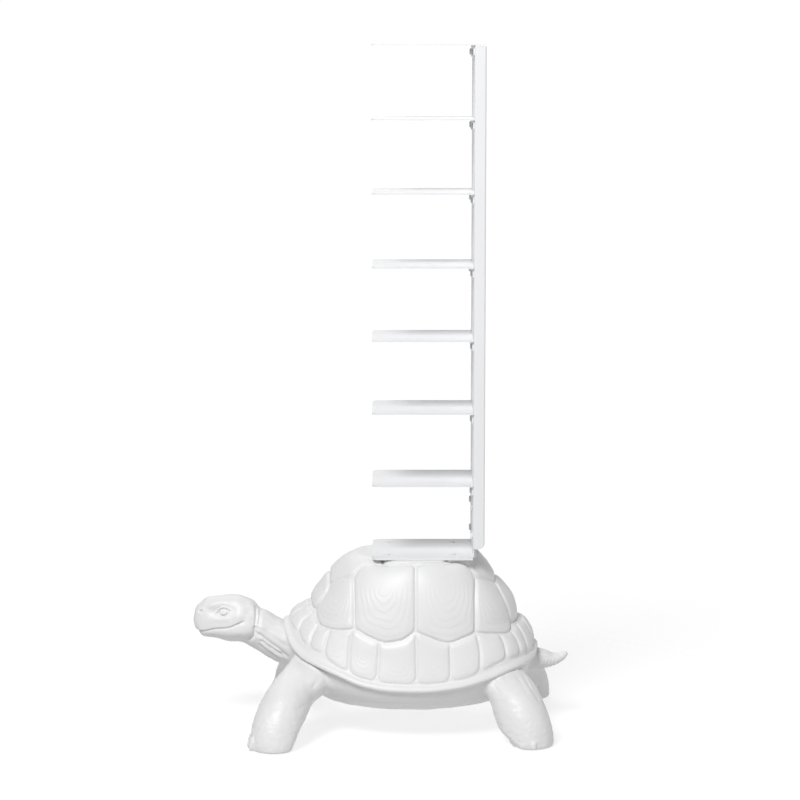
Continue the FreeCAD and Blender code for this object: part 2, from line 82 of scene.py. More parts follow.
RIM_Z = pchip(
    [0, 8, 15, 25, 36, 48, 65, 85, 100, 116, 132, 141, 150, 158, 165, 175, 180],
    [126, 122, 117, 114, 110, 101, 91, 87, 88, 94, 110, 118, 125, 135, 147, 160, 162],
)
RISE = (
    pchip([0, 0.40, 0.5025, 0.594, 0.673, 0.752, 0.807, 0.839, 0.855, 0.918, 0.964, 0.989, 1.0],
          [1, 1, 0.991, 0.885, 0.745, 0.62, 0.513, 0.407, 0.331, 0.248, 0.142, 0.045, 0]),
    pchip([0, 0.46, 0.535, 0.60, 0.70, 0.77, 0.825, 0.86, 0.873, 0.89, 0.92, 0.967, 1.0],
          [1, 1, 0.995, 0.965, 0.875, 0.75, 0.59, 0.44, 0.375, 0.31, 0.20, 0.07, 0]),
    pchip([0, 0.36, 0.487, 0.613, 0.66, 0.715, 0.785, 0.812, 0.85, 0.90, 0.96, 1.0],
          [1, 1, 0.93, 0.775, 0.685, 0.545, 0.385, 0.29, 0.235, 0.185, 0.09, 0]),
)
UNDER = pchip([0, 0.55, 0.70, 0.82, 0.90, 0.95, 0.985, 1.0], [0, 0.0, 0.07, 0.256, 0.51, 0.74, 0.93, 1.0])


def key_weights(phi):
    """Shares of the tail, side and neck profiles at angles of 0 to 180 degrees."""
    phi = np.asarray(phi, float)
    k = (phi >= 90).astype(int)
    u = (phi - 90 * k) / 90.0
    c = [(-u**3 + 2 * u**2 - u) / 2, (3 * u**3 - 5 * u**2 + 2) / 2, (-3 * u**3 + 4 * u**2 + u) / 2, (u**3 - u**2) / 2]
    w = np.zeros((3,) + phi.shape)
    for j, cc in zip((k - 1, k, k + 1, k + 2), c):
        j = np.abs(j)
        j = np.where(j > 2, 4 - j, j)
        for n in range(3):
            w[n] += np.where(j == n, cc, 0.0)
    return w


def plan(x, y):
    q = (np.abs((x - XC) / SHELL_A) ** SHELL_N + np.abs(y / SHELL_B) ** SHELL_N) ** (1 / SHELL_N)
    return q, np.degrees(np.arctan2(np.abs(y), x - XC))


def rise(q, phi):
    w = key_weights(phi)
    return w[0] * RISE[0](q) + w[1] * RISE[1](q) + w[2] * RISE[2](q)


def shell_height(q, phi):
    r = RIM_Z(phi)
    return r + (SHELL_TOP - r) * rise(np.minimum(q, 1.0), phi)


def reach(phi):
    """Plan radius of the rim at a signed angle in degrees."""
    a = np.radians(phi)
    return (np.abs(np.cos(a) / SHELL_A) ** SHELL_N + np.abs(np.sin(a) / SHELL_B) ** SHELL_N) ** (-1 / SHELL_N)


def on_shell(phi, q):
    """Point on the shell for a signed angle (negative: left side) and a plan share."""
    phi, q = np.asarray(phi, float), np.asarray(q, float)
    r = reach(phi) * q
    a = np.radians(phi)
    return np.stack([XC + r * np.cos(a), r * np.sin(a), shell_height(q, np.abs(phi))], -1)


def smoothstep(a, b, x):
    t = np.clip((x - a) / (b - a), 0.0, 1.0)
    return t * t * (3 - 2 * t)


def smin(a, b, k):
    h = np.clip(0.5 + 0.5 * (b - a) / k, 0.0, 1.0)
    return b + (a - b) * h - k * h * (1 - h)


# ------------------------------------------------------------------ noise
def lattice(ix, iy, iz, salt):
    """Repeatable pseudo-random number in 0..1 for each lattice point."""
    n = (ix.astype(np.int64) * 374761393 + iy.astype(np.int64) * 668265263 + iz.astype(np.int64) * 2147483647 + salt * 974711) & 0xFFFFFFFF
    n = ((n ^ (n >> 13)) * 1274126177) & 0xFFFFFFFF
    n = ((n ^ (n >> 16)) * 2246822519) & 0xFFFFFFFF
    return ((n ^ (n >> 15)) & 0xFFFFFF).astype(float) / float(0xFFFFFF)


def value_noise(p, size, salt=1):
    """Smooth noise in -1..1."""
    g = p / size
    i = np.floor(g).astype(np.int64)
    f = g - i
    f = f * f * f * (f * (f * 6 - 15) + 10)
    out = 0.0
    for dx in (0, 1):
        for dy in (0, 1):
            for dz in (0, 1):
                w = (f[:, 0] if dx else 1 - f[:, 0]) * (f[:, 1] if dy else 1 - f[:, 1]) * (f[:, 2] if dz else 1 - f[:, 2])
                out = out + w * lattice(i[:, 0] + dx, i[:, 1] + dy, i[:, 2] + dz, salt)
    return out * 2 - 1


def cells(p, size, salt=1):
    """Distances to the nearest and second nearest jittered lattice points, in cell sizes."""
    g = p / size
    i = np.floor(g).astype(np.int64)
    d1 = np.full(len(p), 9.0)
    d2 = np.full(len(p), 9.0)
    for dx in (-1, 0, 1):
        for dy in (-1, 0, 1):
            for dz in (-1, 0, 1):
                c = i + np.array([dx, dy, dz])
                q = c + 0.5 + 0.8 * (np.stack([lattice(c[:, 0], c[:, 1], c[:, 2], salt + s) for s in (0, 7, 19)], 1) - 0.5)
                d = np.sqrt(((g - q) ** 2).sum(1))
                d2 = np.minimum(d2, np.maximum(d1, d))
                d1 = np.minimum(d1, d)
    return d1, d2


# ------------------------------------------------------------------ implicit body
def axis_grid(parts, scale):
    """Coordinates with a spacing of its own in each stretch: [(start, end, step), ...]."""
    out = []
    for a, b, step in parts:
        n = max(2, int(round((b - a) / (step * scale))))
        out.append(np.linspace(a, b, n, endpoint=False))
    out.append(np.array([parts[-1][1]]))
    return np.concatenate(out)


S = 1.0
GX = axis_grid([(-296.0, -184.0, 0.8), (-184.0, 150.0, 1.7), (150.0, 296.0, 1.45)], S)
GY = axis_grid([(-208.0, -37.0, 1.6), (-37.0, 37.0, 0.8), (37.0, 208.0, 1.6)], S)
GZ = axis_grid([(-1.0, 116.0, 1.6), (116.0, 204.0, 0.8)], S)
FIELD = np.full((len(GX), len(GY), len(GZ)), 30.0, F)


def block(lo, hi):
    """Index slices and open coordinate grids of a box of the field."""
    s, c = [], []
    for g, a, b in zip((GX, GY, GZ), lo, hi):
        i, j = np.searchsorted(g, a), np.searchsorted(g, b)
        s.append(slice(max(i - 1, 0), min(j + 1, len(g))))
        c.append(g[s[-1]].astype(F))
    return tuple(s), (c[0][:, None, None], c[1][None, :, None], c[2][None, None, :])


def add(fn, lo, hi, k):
    """Blends a shape into the field, smoothly over about k mm."""
    s, (x, y, z) = block([v - k - 4 for v in lo], [v + k + 4 for v in hi])
    d = fn(x, y, z).astype(F)
    FIELD[s] = smin(FIELD[s], d, k)


def round_cone(a, b, ra, rb):
    a, b = np.array(a, float), np.array(b, float)
    ab = b - a
    L2 = float(ab @ ab)

    def fn(x, y, z):
        t = np.clip(((x - a[0]) * ab[0] + (y - a[1]) * ab[1] + (z - a[2]) * ab[2]) / L2, 0, 1)
        # the radius runs straight from ra to rb along the cone
        r = ra + (rb - ra) * t
        return np.sqrt((x - a[0] - ab[0] * t) ** 2 + (y - a[1] - ab[1] * t) ** 2 + (z - a[2] - ab[2] * t) ** 2) - r

    r = max(ra, rb)
    return fn, np.minimum(a, b) - r, np.maximum(a, b) + r


def path(stations, steps):
    """Catmull-Rom through rows of numbers."""
    rows = [np.array(s, float) for s in stations]
    out = []
    for i in range(len(rows) - 1):
        p0, p1, p2, p3 = rows[max(i - 1, 0)], rows[i], rows[i + 1], rows[min(i + 2, len(rows) - 1)]
        for t in np.arange(steps) / steps:
            out.append(0.5 * (2 * p1 + (p2 - p0) * t + (2 * p0 - 5 * p1 + 4 * p2 - p3) * t * t + (3 * p1 - p0 - 3 * p2 + p3) * t**3))
    out.append(rows[-1])
    return out


def tube(stations, steps=4):
    """One shape from a chain of round cones along a smooth path of (x, y, z, r)."""
    st = path(stations, steps)
    parts = [round_cone(p[:3], q[:3], p[3], q[3]) for p, q in zip(st, st[1:])]
    lo = np.min([p[1] for p in parts], 0)
    hi = np.max([p[2] for p in parts], 0)

    def fn(x, y, z):
        d = None
        for p in parts:
            e = p[0](x, y, z)
            d = e if d is None else smin(d, e, 1.2)
        return d

    return fn, lo, hi


def ellipsoid(c, r, yaw=0.0, lean=0.0):
    """Ellipsoid with half axes r = (radial, tangential, up), turned by yaw about Z and leaned outwards at its foot."""
    c, r = np.array(c, float), np.array(r, float)
    cy, sy, cl, sl = math.cos(yaw), math.sin(yaw), math.cos(lean), math.sin(lean)

    def fn(x, y, z):
        u = (x - c[0]) * cy + (y - c[1]) * sy
        v = -(x - c[0]) * sy + (y - c[1]) * cy
        w = z - c[2]
        u, w = u * cl + w * sl, -u * sl + w * cl
        k0 = np.sqrt((u / r[0]) ** 2 + (v / r[1]) ** 2 + (w / r[2]) ** 2)
        k1 = np.sqrt((u / r[0] ** 2) ** 2 + (v / r[1] ** 2) ** 2 + (w / r[2] ** 2) ** 2) + 1e-6
        return k0 * (k0 - 1.0) / k1

    m = r.max() + 2
    return fn, c - m, c + m


def put(shape, k):
    add(shape[0], shape[1], shape[2], k)


# belly: the bowl under the rim, closed on top inside the shell
def belly(x, y, z):
    q = (np.abs((x - XC) / SHELL_A) ** SHELL_N + np.abs(y / SHELL_B) ** SHELL_N) ** (1 / SHELL_N)
    phi = np.degrees(np.arctan2(np.abs(y) + 0 * x, (x - XC) + 0 * y))
    rim = RIM_Z(phi)
    qq = np.minimum(q, 1.0)
    low = BELLY_Z + (rim - RIM_EDGE - BELLY_Z) * UNDER(qq)
    e = 0.01
    slope = (UNDER(np.minimum(qq + e, 1)) - UNDER(np.maximum(qq - e, 0))) / (2 * e) * (rim - RIM_EDGE - BELLY_Z) / 165.0
    c = 1 / np.sqrt(1 + slope**2)
    under = (low - z) * c
    side = (q - 0.968 + 0.038 * smoothstep(120, 150, phi)) * 160.0 + 0 * z
    top = (z - (rim + 14.0)) + 0 * x
    d = -smin(-under, -side, 10.0)
    return np.maximum(d, top)


add(belly, (XC - SHELL_A, -SHELL_B, BELLY_Z - 2), (XC + SHELL_A, SHELL_B, 185), 2.0)


def tuck(lo, hi, k, drop, fall):
    """Cuts what is in the field so far off under the rim and inside the shell: drop mm under the rim, falling outwards."""
    s, (x, y, z) = block(lo, hi)
    x2, y2 = x[:, :, 0], y[:, :, 0]
    q = (np.abs((x2 - XC) / SHELL_A) ** SHELL_N + np.abs(y2 / SHELL_B) ** SHELL_N) ** (1 / SHELL_N)
    phi = np.degrees(np.arctan2(np.abs(y2) + 0 * x2, (x2 - XC) + 0 * y2))
    t = np.clip(q - 1, 0, None) * 165.0
    lim = shell_height(q, phi) - drop(phi) - fall * t
    cut = (z - lim[:, :, None].astype(F)) * (1 / math.sqrt(1 + fall * fall))
    FIELD[s] = -smin(-FIELD[s], -cut, k)


# legs: near ones are the tortoise's left. (x, y, z, r)
LEG_FL = [(-92, -54, 110, 35), (-103, -67, 100, 34), (-113, -82, 91, 33.5), (-126, -103, 79, 33.5), (-136, -122, 67.7, 34.2),
          (-143.5, -138, 56, 35.7), (-149.5, -151, 42.5, 37), (-154, -160, 29, 37.6), (-157, -166, 16, 36.6), (-158, -168, 6, 35.4)]
LEG_HL = [(150, -48, 122, 36), (163, -62, 112, 35), (177, -80, 99, 34.5), (190, -99, 84, 35), (201, -117, 66, 36.7), (209, -131, 47, 38.4),
          (216.5, -140.5, 29, 38.2), (222, -145.5, 15, 36.2), (224, -147, 6, 34.8)]


def shifted(leg, dx):
    """The other side's leg, moved along X by dx at the foot and less further up."""
    out = []
    for x, y, z, r in leg:
        f = float(smoothstep(125, 60, z))
        out.append((x + dx * f, -y, z, r))
    return out


LEG_FR = shifted(LEG_FL, 19.0)
LEG_HR = shifted(LEG_HL, 10.0)
for leg in (LEG_FL, LEG_FR, LEG_HL, LEG_HR):
    put(tube(leg, 3), 9.0)
# elbows, calves and shoulders give the legs their swell
for sgn, dx in ((-1, 0.0), (1, 19.0)):
    put(ellipsoid((-143 + dx * 0.8, sgn * 146, 58), (24, 27, 28)), 8.0)
    put(ellipsoid((-108 + dx * 0.4, sgn * 92, 84), (32, 36, 24)), 12.0)
for sgn, dx in ((-1, 0.0), (1, 10.0)):
    put(ellipsoid((216 + dx, sgn * 136, 38), (28, 28, 32)), 8.0)
    put(ellipsoid((176 + dx * 0.4, sgn * 88, 88), (34, 36, 24)), 12.0)

tuck((-215, -208, 60), (296, 208, 204), 15.0,
     lambda phi: 5.6 + 7.0 * smoothstep(125, 158, phi) + 3.0 * smoothstep(60, 30, phi), 0.25)

# neck and tail
put(tube([(-204, 0, 151, 27.5), (-190, 0, 145.6, 30.4), (-176, 0, 137.4, 30.3), (-163.5, 0, 131.2, 31.8), (-145, 0, 124.0, 35), (-100, 0, 116, 42)], 4), 9.0)
tuck((-186, -64, 100), (-90, 64, 204), 6.0, lambda phi: 4.2 + 0 * phi, -1.0)
put(tube([(205, 0, 100, 24), (228, 0, 99, 21), (246, 0, 98, 16.5), (259, 0, 96.2, 11.6), (270, 0, 97.4, 8.6), (278.5, 0, 100.6, 6.3),
          (284.6, 0, 104.6, 3.9)], 4), 7.0)
tuck((170, -40, 80), (262, 40, 204), 5.0, lambda phi: 10.5 + 0 * phi, 0.25)

# head: flattened tube with its own top, bottom and width lines
HEAD_TOP = pchip([-291, -289.3, -288.3, -287.0, -284.2, -280.9, -277.8, -274.6, -271.2, -266.0, -253.4, -236.6, -223.4, -210.1, -199.5, -193.4, -186, -178],
                 [160, 166, 171, 176.6, 181.4, 184.2, 187.0, 190.4, 192.9, 194.7, 195.7, 197.4, 197.8, 194.4, 189.5, 184, 174, 160])
HEAD_LOW = pchip([-291, -289.3, -287.8, -283.8, -281, -278, -273.6, -261.4, -252.6, -242, -231.4, -213.7, -200, -190, -180],
                 [160, 154.5, 149, 143, 137.6, 133.2, 130.2, 129.0, 127.7, 124.4, 122.5, 123, 125, 130, 142])
HEAD_WID = pchip([-291, -289, -286, -281, -274, -264, -252, -240, -228, -216, -204, -194, -184, -176],
                 [2, 7.5, 11.5, 15.0, 18.2, 21.4, 24.8, 28.2, 30.6, 31.6, 31.0, 28.0, 22.0, 14.0])


JAW_Z = pchip([-291, -282, -268, -240, -216, -206, -199, -193, -180], [143.0, 141.4, 140.6, 140.6, 140.6, 142.6, 147.6, 154, 158])


def head(x, y, z):
    top, low, wid, jaw = (t(x).astype(F) for t in (HEAD_TOP, HEAD_LOW, HEAD_WID, JAW_Z))
    hz = np.maximum((top - low) / 2, 1.0)
    zc = (top + low) / 2 - 0.04 * hz
    up = (z - zc) / hz
    hz = np.where(z > zc, top - zc, zc - low)
    # narrower brow, full cheeks
    w = wid * (1 - 0.13 * np.clip(up, 0, 1) ** 2 - 0.05 * np.clip(-up - 0.35, 0, 1))
    n = np.where(z > zc, 2.5, 2.5 + 1.3 * smoothstep(-282, -262, x).astype(F))
    f = (np.abs(y / w) ** n + np.abs((z - zc) / hz) ** n) ** (1 / n) - 1
    ends = np.maximum(-290.2 - x, x + 177)
    d = np.maximum(f * np.minimum(w, hz) * 0.92, ends)
    # the jaw turns under along a soft edge
    under = (np.sqrt(y * y + 9.0) * (jaw - low) - (z - low + 2.0) * wid) / np.sqrt((jaw - low) ** 2 + wid**2)
    return -smin(-d, -under, 6.5)


add(head, (-291, -33, 121), (-177, 33, 199), 4.5)
for sgn in (-1, 1):
    put(ellipsoid((-208, sgn * 23.5, 151.5), (14, 9.5, 14)), 5.0)

# heels of the front feet slant in, toes of the hind feet round under
for leg, x0, z0, nx, nz, k in ((LEG_FL, 38.5, 26, 0.90, -0.436, 8.0), (LEG_FR, 38.5, 26, 0.90, -0.436, 8.0),
                               (LEG_HL, -35.5, 13, -0.60, -0.80, 8.0), (LEG_HR, -35.5, 13, -0.60, -0.80, 8.0)):
    x, y = leg[-1][0], leg[-1][1]
    s, (gx_, gy_, gz_) = block((x - 60, y - 50, -2), (x + 60, y + 50, 60))
    bend = 0.025 * np.clip(gz_ - z0, 0, None) ** 2
    FIELD[s] = -smin(-FIELD[s], bend - (nx * (gx_ - x - x0) + nz * (gz_ - z0)) + 0 * gy_, k)

# claws: five on each front foot, four on each hind foot
claw = []
for foot, leg, out in (((-1, 0.0), LEG_FL, (-84, -57, -30, -3, 25)), ((1, 0.0), LEG_FR, (-84, -57, -30, -3, 25)),
                       ((-1, 0.0), LEG_HL, (4, 36, 66, 95)), ((1, 0.0), LEG_HR, (4, 36, 66, 95))):
    sgn = foot[0]
    x, y, z, r = leg[-1]
    for i, a in enumerate(out):
        ang = math.radians(180 + sgn * -a)
        front = leg in (LEG_FL, LEG_FR)
        rad = 36.2 if front else 35.0 - 7.5 * max(0.0, math.cos(math.radians(a))) ** 2
        cx, cy = x + rad * math.cos(ang), y + rad * math.sin(ang)
        size = (4.7, 5.4, 12.5) if front else (3.2, 4.9, 6.8)
        claw.append((ellipsoid((cx, cy, 11.5 if front else 8.5), size, ang, 0.20), 1.6))

for shape, k in claw:
    put(shape, k)

# flat soles on the pads, with a rounded edge
s, (x, y, z) = block((-296, -210, -2), (296, 210, 30))
FIELD[s] = -smin(-FIELD[s], z - SOLE_Z + 0 * x, 3.5)
for px, py in PADS:
    s, (x, y, z) = block((px - 28, py - 28, -2), (px + 28, py + 28, 8))
    hole = np.maximum(np.sqrt((x - px) ** 2 + (y - py) ** 2) - PAD_R - 0.6, z - 3.1)
    FIELD[s] = np.maximum(FIELD[s], -hole)


def surface_net(field, gx, gy, gz):
    """Closed quad mesh of the field's zero level: one vertex in each cell that the surface crosses."""
    inside = field < 0
    nx, ny, nz = field.shape
    cross = np.zeros((nx - 1, ny - 1, nz - 1), bool)
    corner = [inside[i:nx - 1 + i, j:ny - 1 + j, k:nz - 1 + k] for i in (0, 1) for j in (0, 1) for k in (0, 1)]
    every = corner[0].copy()
    some = corner[0].copy()
    for c in corner[1:]:
        every &= c
        some |= c
    cross = some & ~every
    ci, cj, ck = np.nonzero(cross)
    index = np.full(cross.shape, -1, np.int64)
    index[ci, cj, ck] = np.arange(len(ci))
    pos = np.zeros((len(ci), 3))
    count = np.zeros(len(ci))
    axes = (gx, gy, gz)
    base = np.stack([ci, cj, ck], 1)
    for ax in range(3):
        o1, o2 = [a for a in range(3) if a != ax]
        for a in (0, 1):
            for b in (0, 1):
                p = base.copy()
                p[:, o1] += a
                p[:, o2] += b
                q = p.copy()
                q[:, ax] += 1
                fa = field[p[:, 0], p[:, 1], p[:, 2]].astype(float)
                fb = field[q[:, 0], q[:, 1], q[:, 2]].astype(float)
                hit = (fa < 0) != (fb < 0)
                t = np.where(hit, fa / np.where(hit, fa - fb, 1), 0)
                point = np.stack([axes[n][p[:, n]] for n in range(3)], 1)
                point[:, ax] += t * (axes[ax][q[:, ax]] - axes[ax][p[:, ax]])
                pos[hit] += point[hit]
                count[hit] += 1
    pos /= count[:, None]
    quads = []
    for ax in range(3):
        o1, o2 = (ax + 1) % 3, (ax + 2) % 3
        lo = [slice(None)] * 3
        hi = [slice(None)] * 3
        lo[ax], hi[ax] = slice(0, -1), slice(1, None)
        for n in (o1, o2):
            lo[n] = hi[n] = slice(1, -1)
        a, b = inside[tuple(lo)], inside[tuple(hi)]
        e = np.stack(np.nonzero(a != b), 1)
        e[:, o1] += 1
        e[:, o2] += 1
        flip = inside[e[:, 0], e[:, 1], e[:, 2]]
        v = []
        for da, db in ((-1, -1), (0, -1), (0, 0), (-1, 0)):
            c = e.copy()
            c[:, o1] += da
            c[:, o2] += db
            v.append(index[c[:, 0], c[:, 1], c[:, 2]])
        v = np.stack(v, 1)
        v[~flip] = v[~flip][:, ::-1]
        quads.append(v)
    return pos, np.concatenate(quads)


def relax(pos, quads, rounds, amount=0.5):
    """Evens the net out without shrinking it."""
    a = np.concatenate([quads[:, i] for i in range(4)])
    b = np.concatenate([quads[:, (i + 1) % 4] for i in range(4)])
    n = np.bincount(a, minlength=len(pos)) + np.bincount(b, minlength=len(pos))
    for i in range(rounds):
        for w in (amount, -amount * 1.03):
            s = np.stack([np.bincount(a, pos[b, k], len(pos)) + np.bincount(b, pos[a, k], len(pos)) for k in range(3)], 1)
            pos = pos + w * (s / n[:, None] - pos)
    return pos


def normals(pos, quads):
    d1 = pos[quads[:, 2]] - pos[quads[:, 0]]
    d2 = pos[quads[:, 3]] - pos[quads[:, 1]]
    fn = np.cross(d1, d2)
    out = np.zeros_like(pos)
    for k in range(3):
        for i in range(4):
            out[:, k] += np.bincount(quads[:, i], fn[:, k], len(pos))
    return out / np.maximum(np.linalg.norm(out, axis=1), 1e-9)[:, None]


def seg_dist(p, pts):
    """Distance of points from a polyline, in any number of dimensions, and the share along it."""
    best = np.full(len(p), 1e9)
    along = np.zeros(len(p))
    n = len(pts) - 1
    for i in range(n):
        a, b = np.array(pts[i], float), np.array(pts[i + 1], float)
        ab = b - a
        t = np.clip(((p - a) @ ab) / max(float(ab @ ab), 1e-9), 0, 1)
        d = np.linalg.norm(p - a - t[:, None] * ab, axis=1)
        near = d < best
        best = np.where(near, d, best)
        along = np.where(near, (i + t) / n, along)
    return best, along


def curve(pts, steps=6):
    return [tuple(p) for p in path(pts, steps)]


pos, quads = surface_net(FIELD, GX, GY, GZ)
pos = relax(pos, quads, 4)
nrm = normals(pos, quads)
print("body net", len(pos), len(quads))

# ------------------------------------------------------------------ face, folds and scales
disp = np.zeros(len(pos))
X, Y, Z = pos[:, 0], pos[:, 1], pos[:, 2]
xz = pos[:, [0, 2]]
side = smoothstep(0.10, 0.45, np.abs(nrm[:, 1]))
is_head = smoothstep(-182, -194, X) * smoothstep(100, 116, Z)


def local(where, fn):
    """Adds a displacement only where a mask is set."""
    idx = np.nonzero(where)[0]
    if len(idx):
        disp[idx] += fn(idx)


def groove(pts, width, depth, where, mask, taper=0.12, skew=0.0):
    """A soft channel (depth > 0) or ridge (depth < 0) along a line drawn in the side view."""
    line = curve(pts)

    def fn(i):
        d, t = seg_dist(xz[i], line)
        ends = smoothstep(0, taper, t) * smoothstep(1, 1 - taper, t) if taper else 1.0
        return -depth * np.exp(-((d / width) ** 2)) * ends * mask[i]

    local(where, fn)


def dent(c, r, depth, where, mask, tilt=0.0):
    """A soft hollow (depth > 0) or swell in the side view."""
    ca, sa = math.cos(tilt), math.sin(tilt)

    def fn(i):
        a, b = xz[i, 0] - c[0], xz[i, 1] - c[1]
        a, b = a * ca + b * sa, -a * sa + b * ca
        return -depth * np.exp(-((a / r[0]) ** 2) - (b / r[1]) ** 2) * mask[i]

    local(where, fn)


H = (X < -180) & (Z > 108)
face = side * is_head
snout = is_head

# eye sockets, lids and eyeballs
EX, EZ, TILT = -243.0, 175.8, 0.25
ca, sa = math.cos(TILT), math.sin(TILT)
dent((-244, 176.8), (16, 9.5), 3.2, H, face, TILT)
dent((-258.5, 176.0), (8, 6.5), 2.4, H, face)
dent((-228.5, 181.5), (7, 5), 1.4, H, face, 0.5)
groove([(-270, 181.5), (-262, 184.5), (-252, 187.8), (-240, 189.0), (-229, 187.4)], 4.2, -2.6, H, face, 0.3)
groove([(-264, 167.5), (-252, 165.2), (-240, 165.4), (-229, 169.5)], 4.4, -1.3, H, face, 0.3)


def eye(i):
    a, b = xz[i, 0] - EX, xz[i, 1] - EZ
    a, b = a * ca + b * sa, -a * sa + b * ca
    # almond: both ends drawn out
    e = np.sqrt((a / 7.4) ** 2 + (b / (4.6 * (1 - 0.14 * np.abs(a / 7.4)))) ** 2)
    ball = 2.5 * np.sqrt(np.clip(1 - e**2, 0, 1))
    rim = -1.45 * np.exp(-(((e - 1.14) / 0.24) ** 2))
    over = smoothstep(-1.5, 2.5, b)
    lid = (0.5 + 1.4 * over) * np.exp(-(((e - 1.60) / 0.30) ** 2))
    fold = -0.7 * over * np.exp(-(((e - 2.15) / 0.20) ** 2))
    return (ball + rim + lid + fold) * face[i]


local(H & (np.abs(X - EX) < 26) & (np.abs(Z - EZ) < 20), eye)

# mouth, with the upper jaw a little proud of the lower one
MOUTH = [(-296, 143.6), (-286, 143.4), (-280, 143.6), (-273, 144.4), (-263, 147.3), (-254, 149.6), (-245, 150.6), (-237.5, 151.6), (-231, 153.4),
         (-224, 156.6), (-217.5, 159.6), (-212.5, 161.8), (-208.5, 162.6)]
mouth_line = curve(MOUTH)


def mouth(i):
    d, t = seg_dist(xz[i], mouth_line)
    zl = np.interp(xz[i, 0], [p[0] for p in MOUTH], [p[1] for p in MOUTH])
    s_ = xz[i, 1] - zl
    fade = smoothstep(1.0, 0.86, t)
    m = np.maximum(face[i], smoothstep(-262, -276, X[i]) * is_head[i])
    line = -(2.1 + 0.8 * smoothstep(-268, -280, X[i])) * np.exp(-((d / 1.25) ** 2))
    upper = 0.75 * smoothstep(0.6, 2.4, s_) * np.exp(-((s_ / 9) ** 2))
    lower = -0.75 * smoothstep(-0.6, -2.4, s_) * np.exp(-((s_ / 9) ** 2)) + 0.35 * np.exp(-(((s_ + 5.0) / 2.6) ** 2))
    return (line + upper + lower) * fade * m


local(H & (X < -206) & (Z > 120) & (Z < 172), mouth)

# cheek, corner of the mouth, ear, nostril, beak and jaw
dent((-264, 160), (15, 8), -0.9, H, face)
dent((-219, 170.5), (8.5, 6.5), -1.3, H, face, 0.5)
dent((-222, 147), (12, 6), -0.8, H, face)
dent((-203.2, 177.0), (6.2, 4.6), 2.4, H, face, -0.3)
groove([(-207, 186.5), (-199, 185.5), (-194.5, 180)], 2.6, -0.9, H, face, 0.3)
dent((-211.0, 162.8), (4.0, 4.5), 1.1, H, face)
dent((-278.4, 175.2), (2.0, 1.35), 3.6, H, np.maximum(face, 0.6 * is_head * (np.abs(Y) > 5)), 0.35)
dent((-279.6, 170.6), (3.6, 2.6), -0.8, H, snout)
groove([(-283.5, 177.6), (-278.5, 178.6), (-273, 177.2)], 1.6, -0.6, H, snout, 0.2)
groove([(-191.6, 184), (-191.3, 174), (-191.8, 164), (-193.4, 154)], 2.1, 2.6, X < -170, side, 0.15)
groove([(-187.2, 178), (-186.8, 166), (-188.5, 155)], 1.9, 1.5, X < -170, side, 0.25)
groove([(-189.4, 180), (-189.0, 168), (-190.4, 157)], 1.4, -0.8, X < -170, side, 0.25)
groove([(-193.4, 156), (-193.6, 149), (-195.0, 142.5), (-198.5, 136.5), (-206.0, 132)], 2.5, 3.4, X < -170, side, 0.1)
groove([(-196, 153.5), (-188, 151.5), (-181, 147)], 1.8, 0.8, X < -172, side, 0.3)
# plates on the crown of the head, faint
wc1, wc2 = cells(pos[H] * np.array([1, 1, 0.6]), 10.5, 41)
disp[H] += -0.13 * np.exp(-(((wc2 - wc1) / 0.12) ** 2)) * smoothstep(0.25, 0.6, nrm[H][:, 2]) * is_head[H]
# a ridge down the beak and small steps of the nose plates
wc1, wc2 = cells(pos[H], 5.2, 43)
disp[H] += -0.08 * np.exp(-(((wc2 - wc1) / 0.14) ** 2)) * is_head[H] * smoothstep(-276, -250, X[H])

# neck: long folds from the jaw back under the shell, both sides
N_ = (X < -128) & (Z < 180)
nk = smoothstep(-204, -196, X) * smoothstep(0.05, 0.4, np.abs(nrm[:, 1])) * smoothstep(60, 44, np.abs(Y))
for pts, w, dp in (
    ([(-194, 147), (-184, 138.5), (-172, 129), (-158, 119), (-140, 103)], 3.0, 3.4),
    ([(-187, 135), (-176, 125.5), (-164, 117), (-150, 106)], 2.5, 2.6),
    ([(-182, 152), (-170, 143), (-158, 134), (-142, 122)], 3.2, 1.5),
    ([(-190, 128), (-180, 118), (-168, 109), (-154, 99)], 2.6, 1.9),
    ([(-184, 162), (-174, 156), (-160, 150), (-142, 144)], 3.4, 0.8),
    ([(-180, 168), (-170, 161), (-156, 154)], 2.6, 0.6),
):
    groove(pts, w, dp, N_, nk, 0.2)
for pts, w, dp in (
    ([(-189, 140), (-178, 131), (-165, 122), (-150, 111)], 2.6, -1.9),
    ([(-188, 130), (-177, 121), (-165, 112), (-152, 103)], 2.4, -1.1),
    ([(-188, 156), (-176, 148), (-162, 139), (-146, 128)], 3.6, -1.2),
):
    groove(pts, w, dp, N_, nk, 0.2)

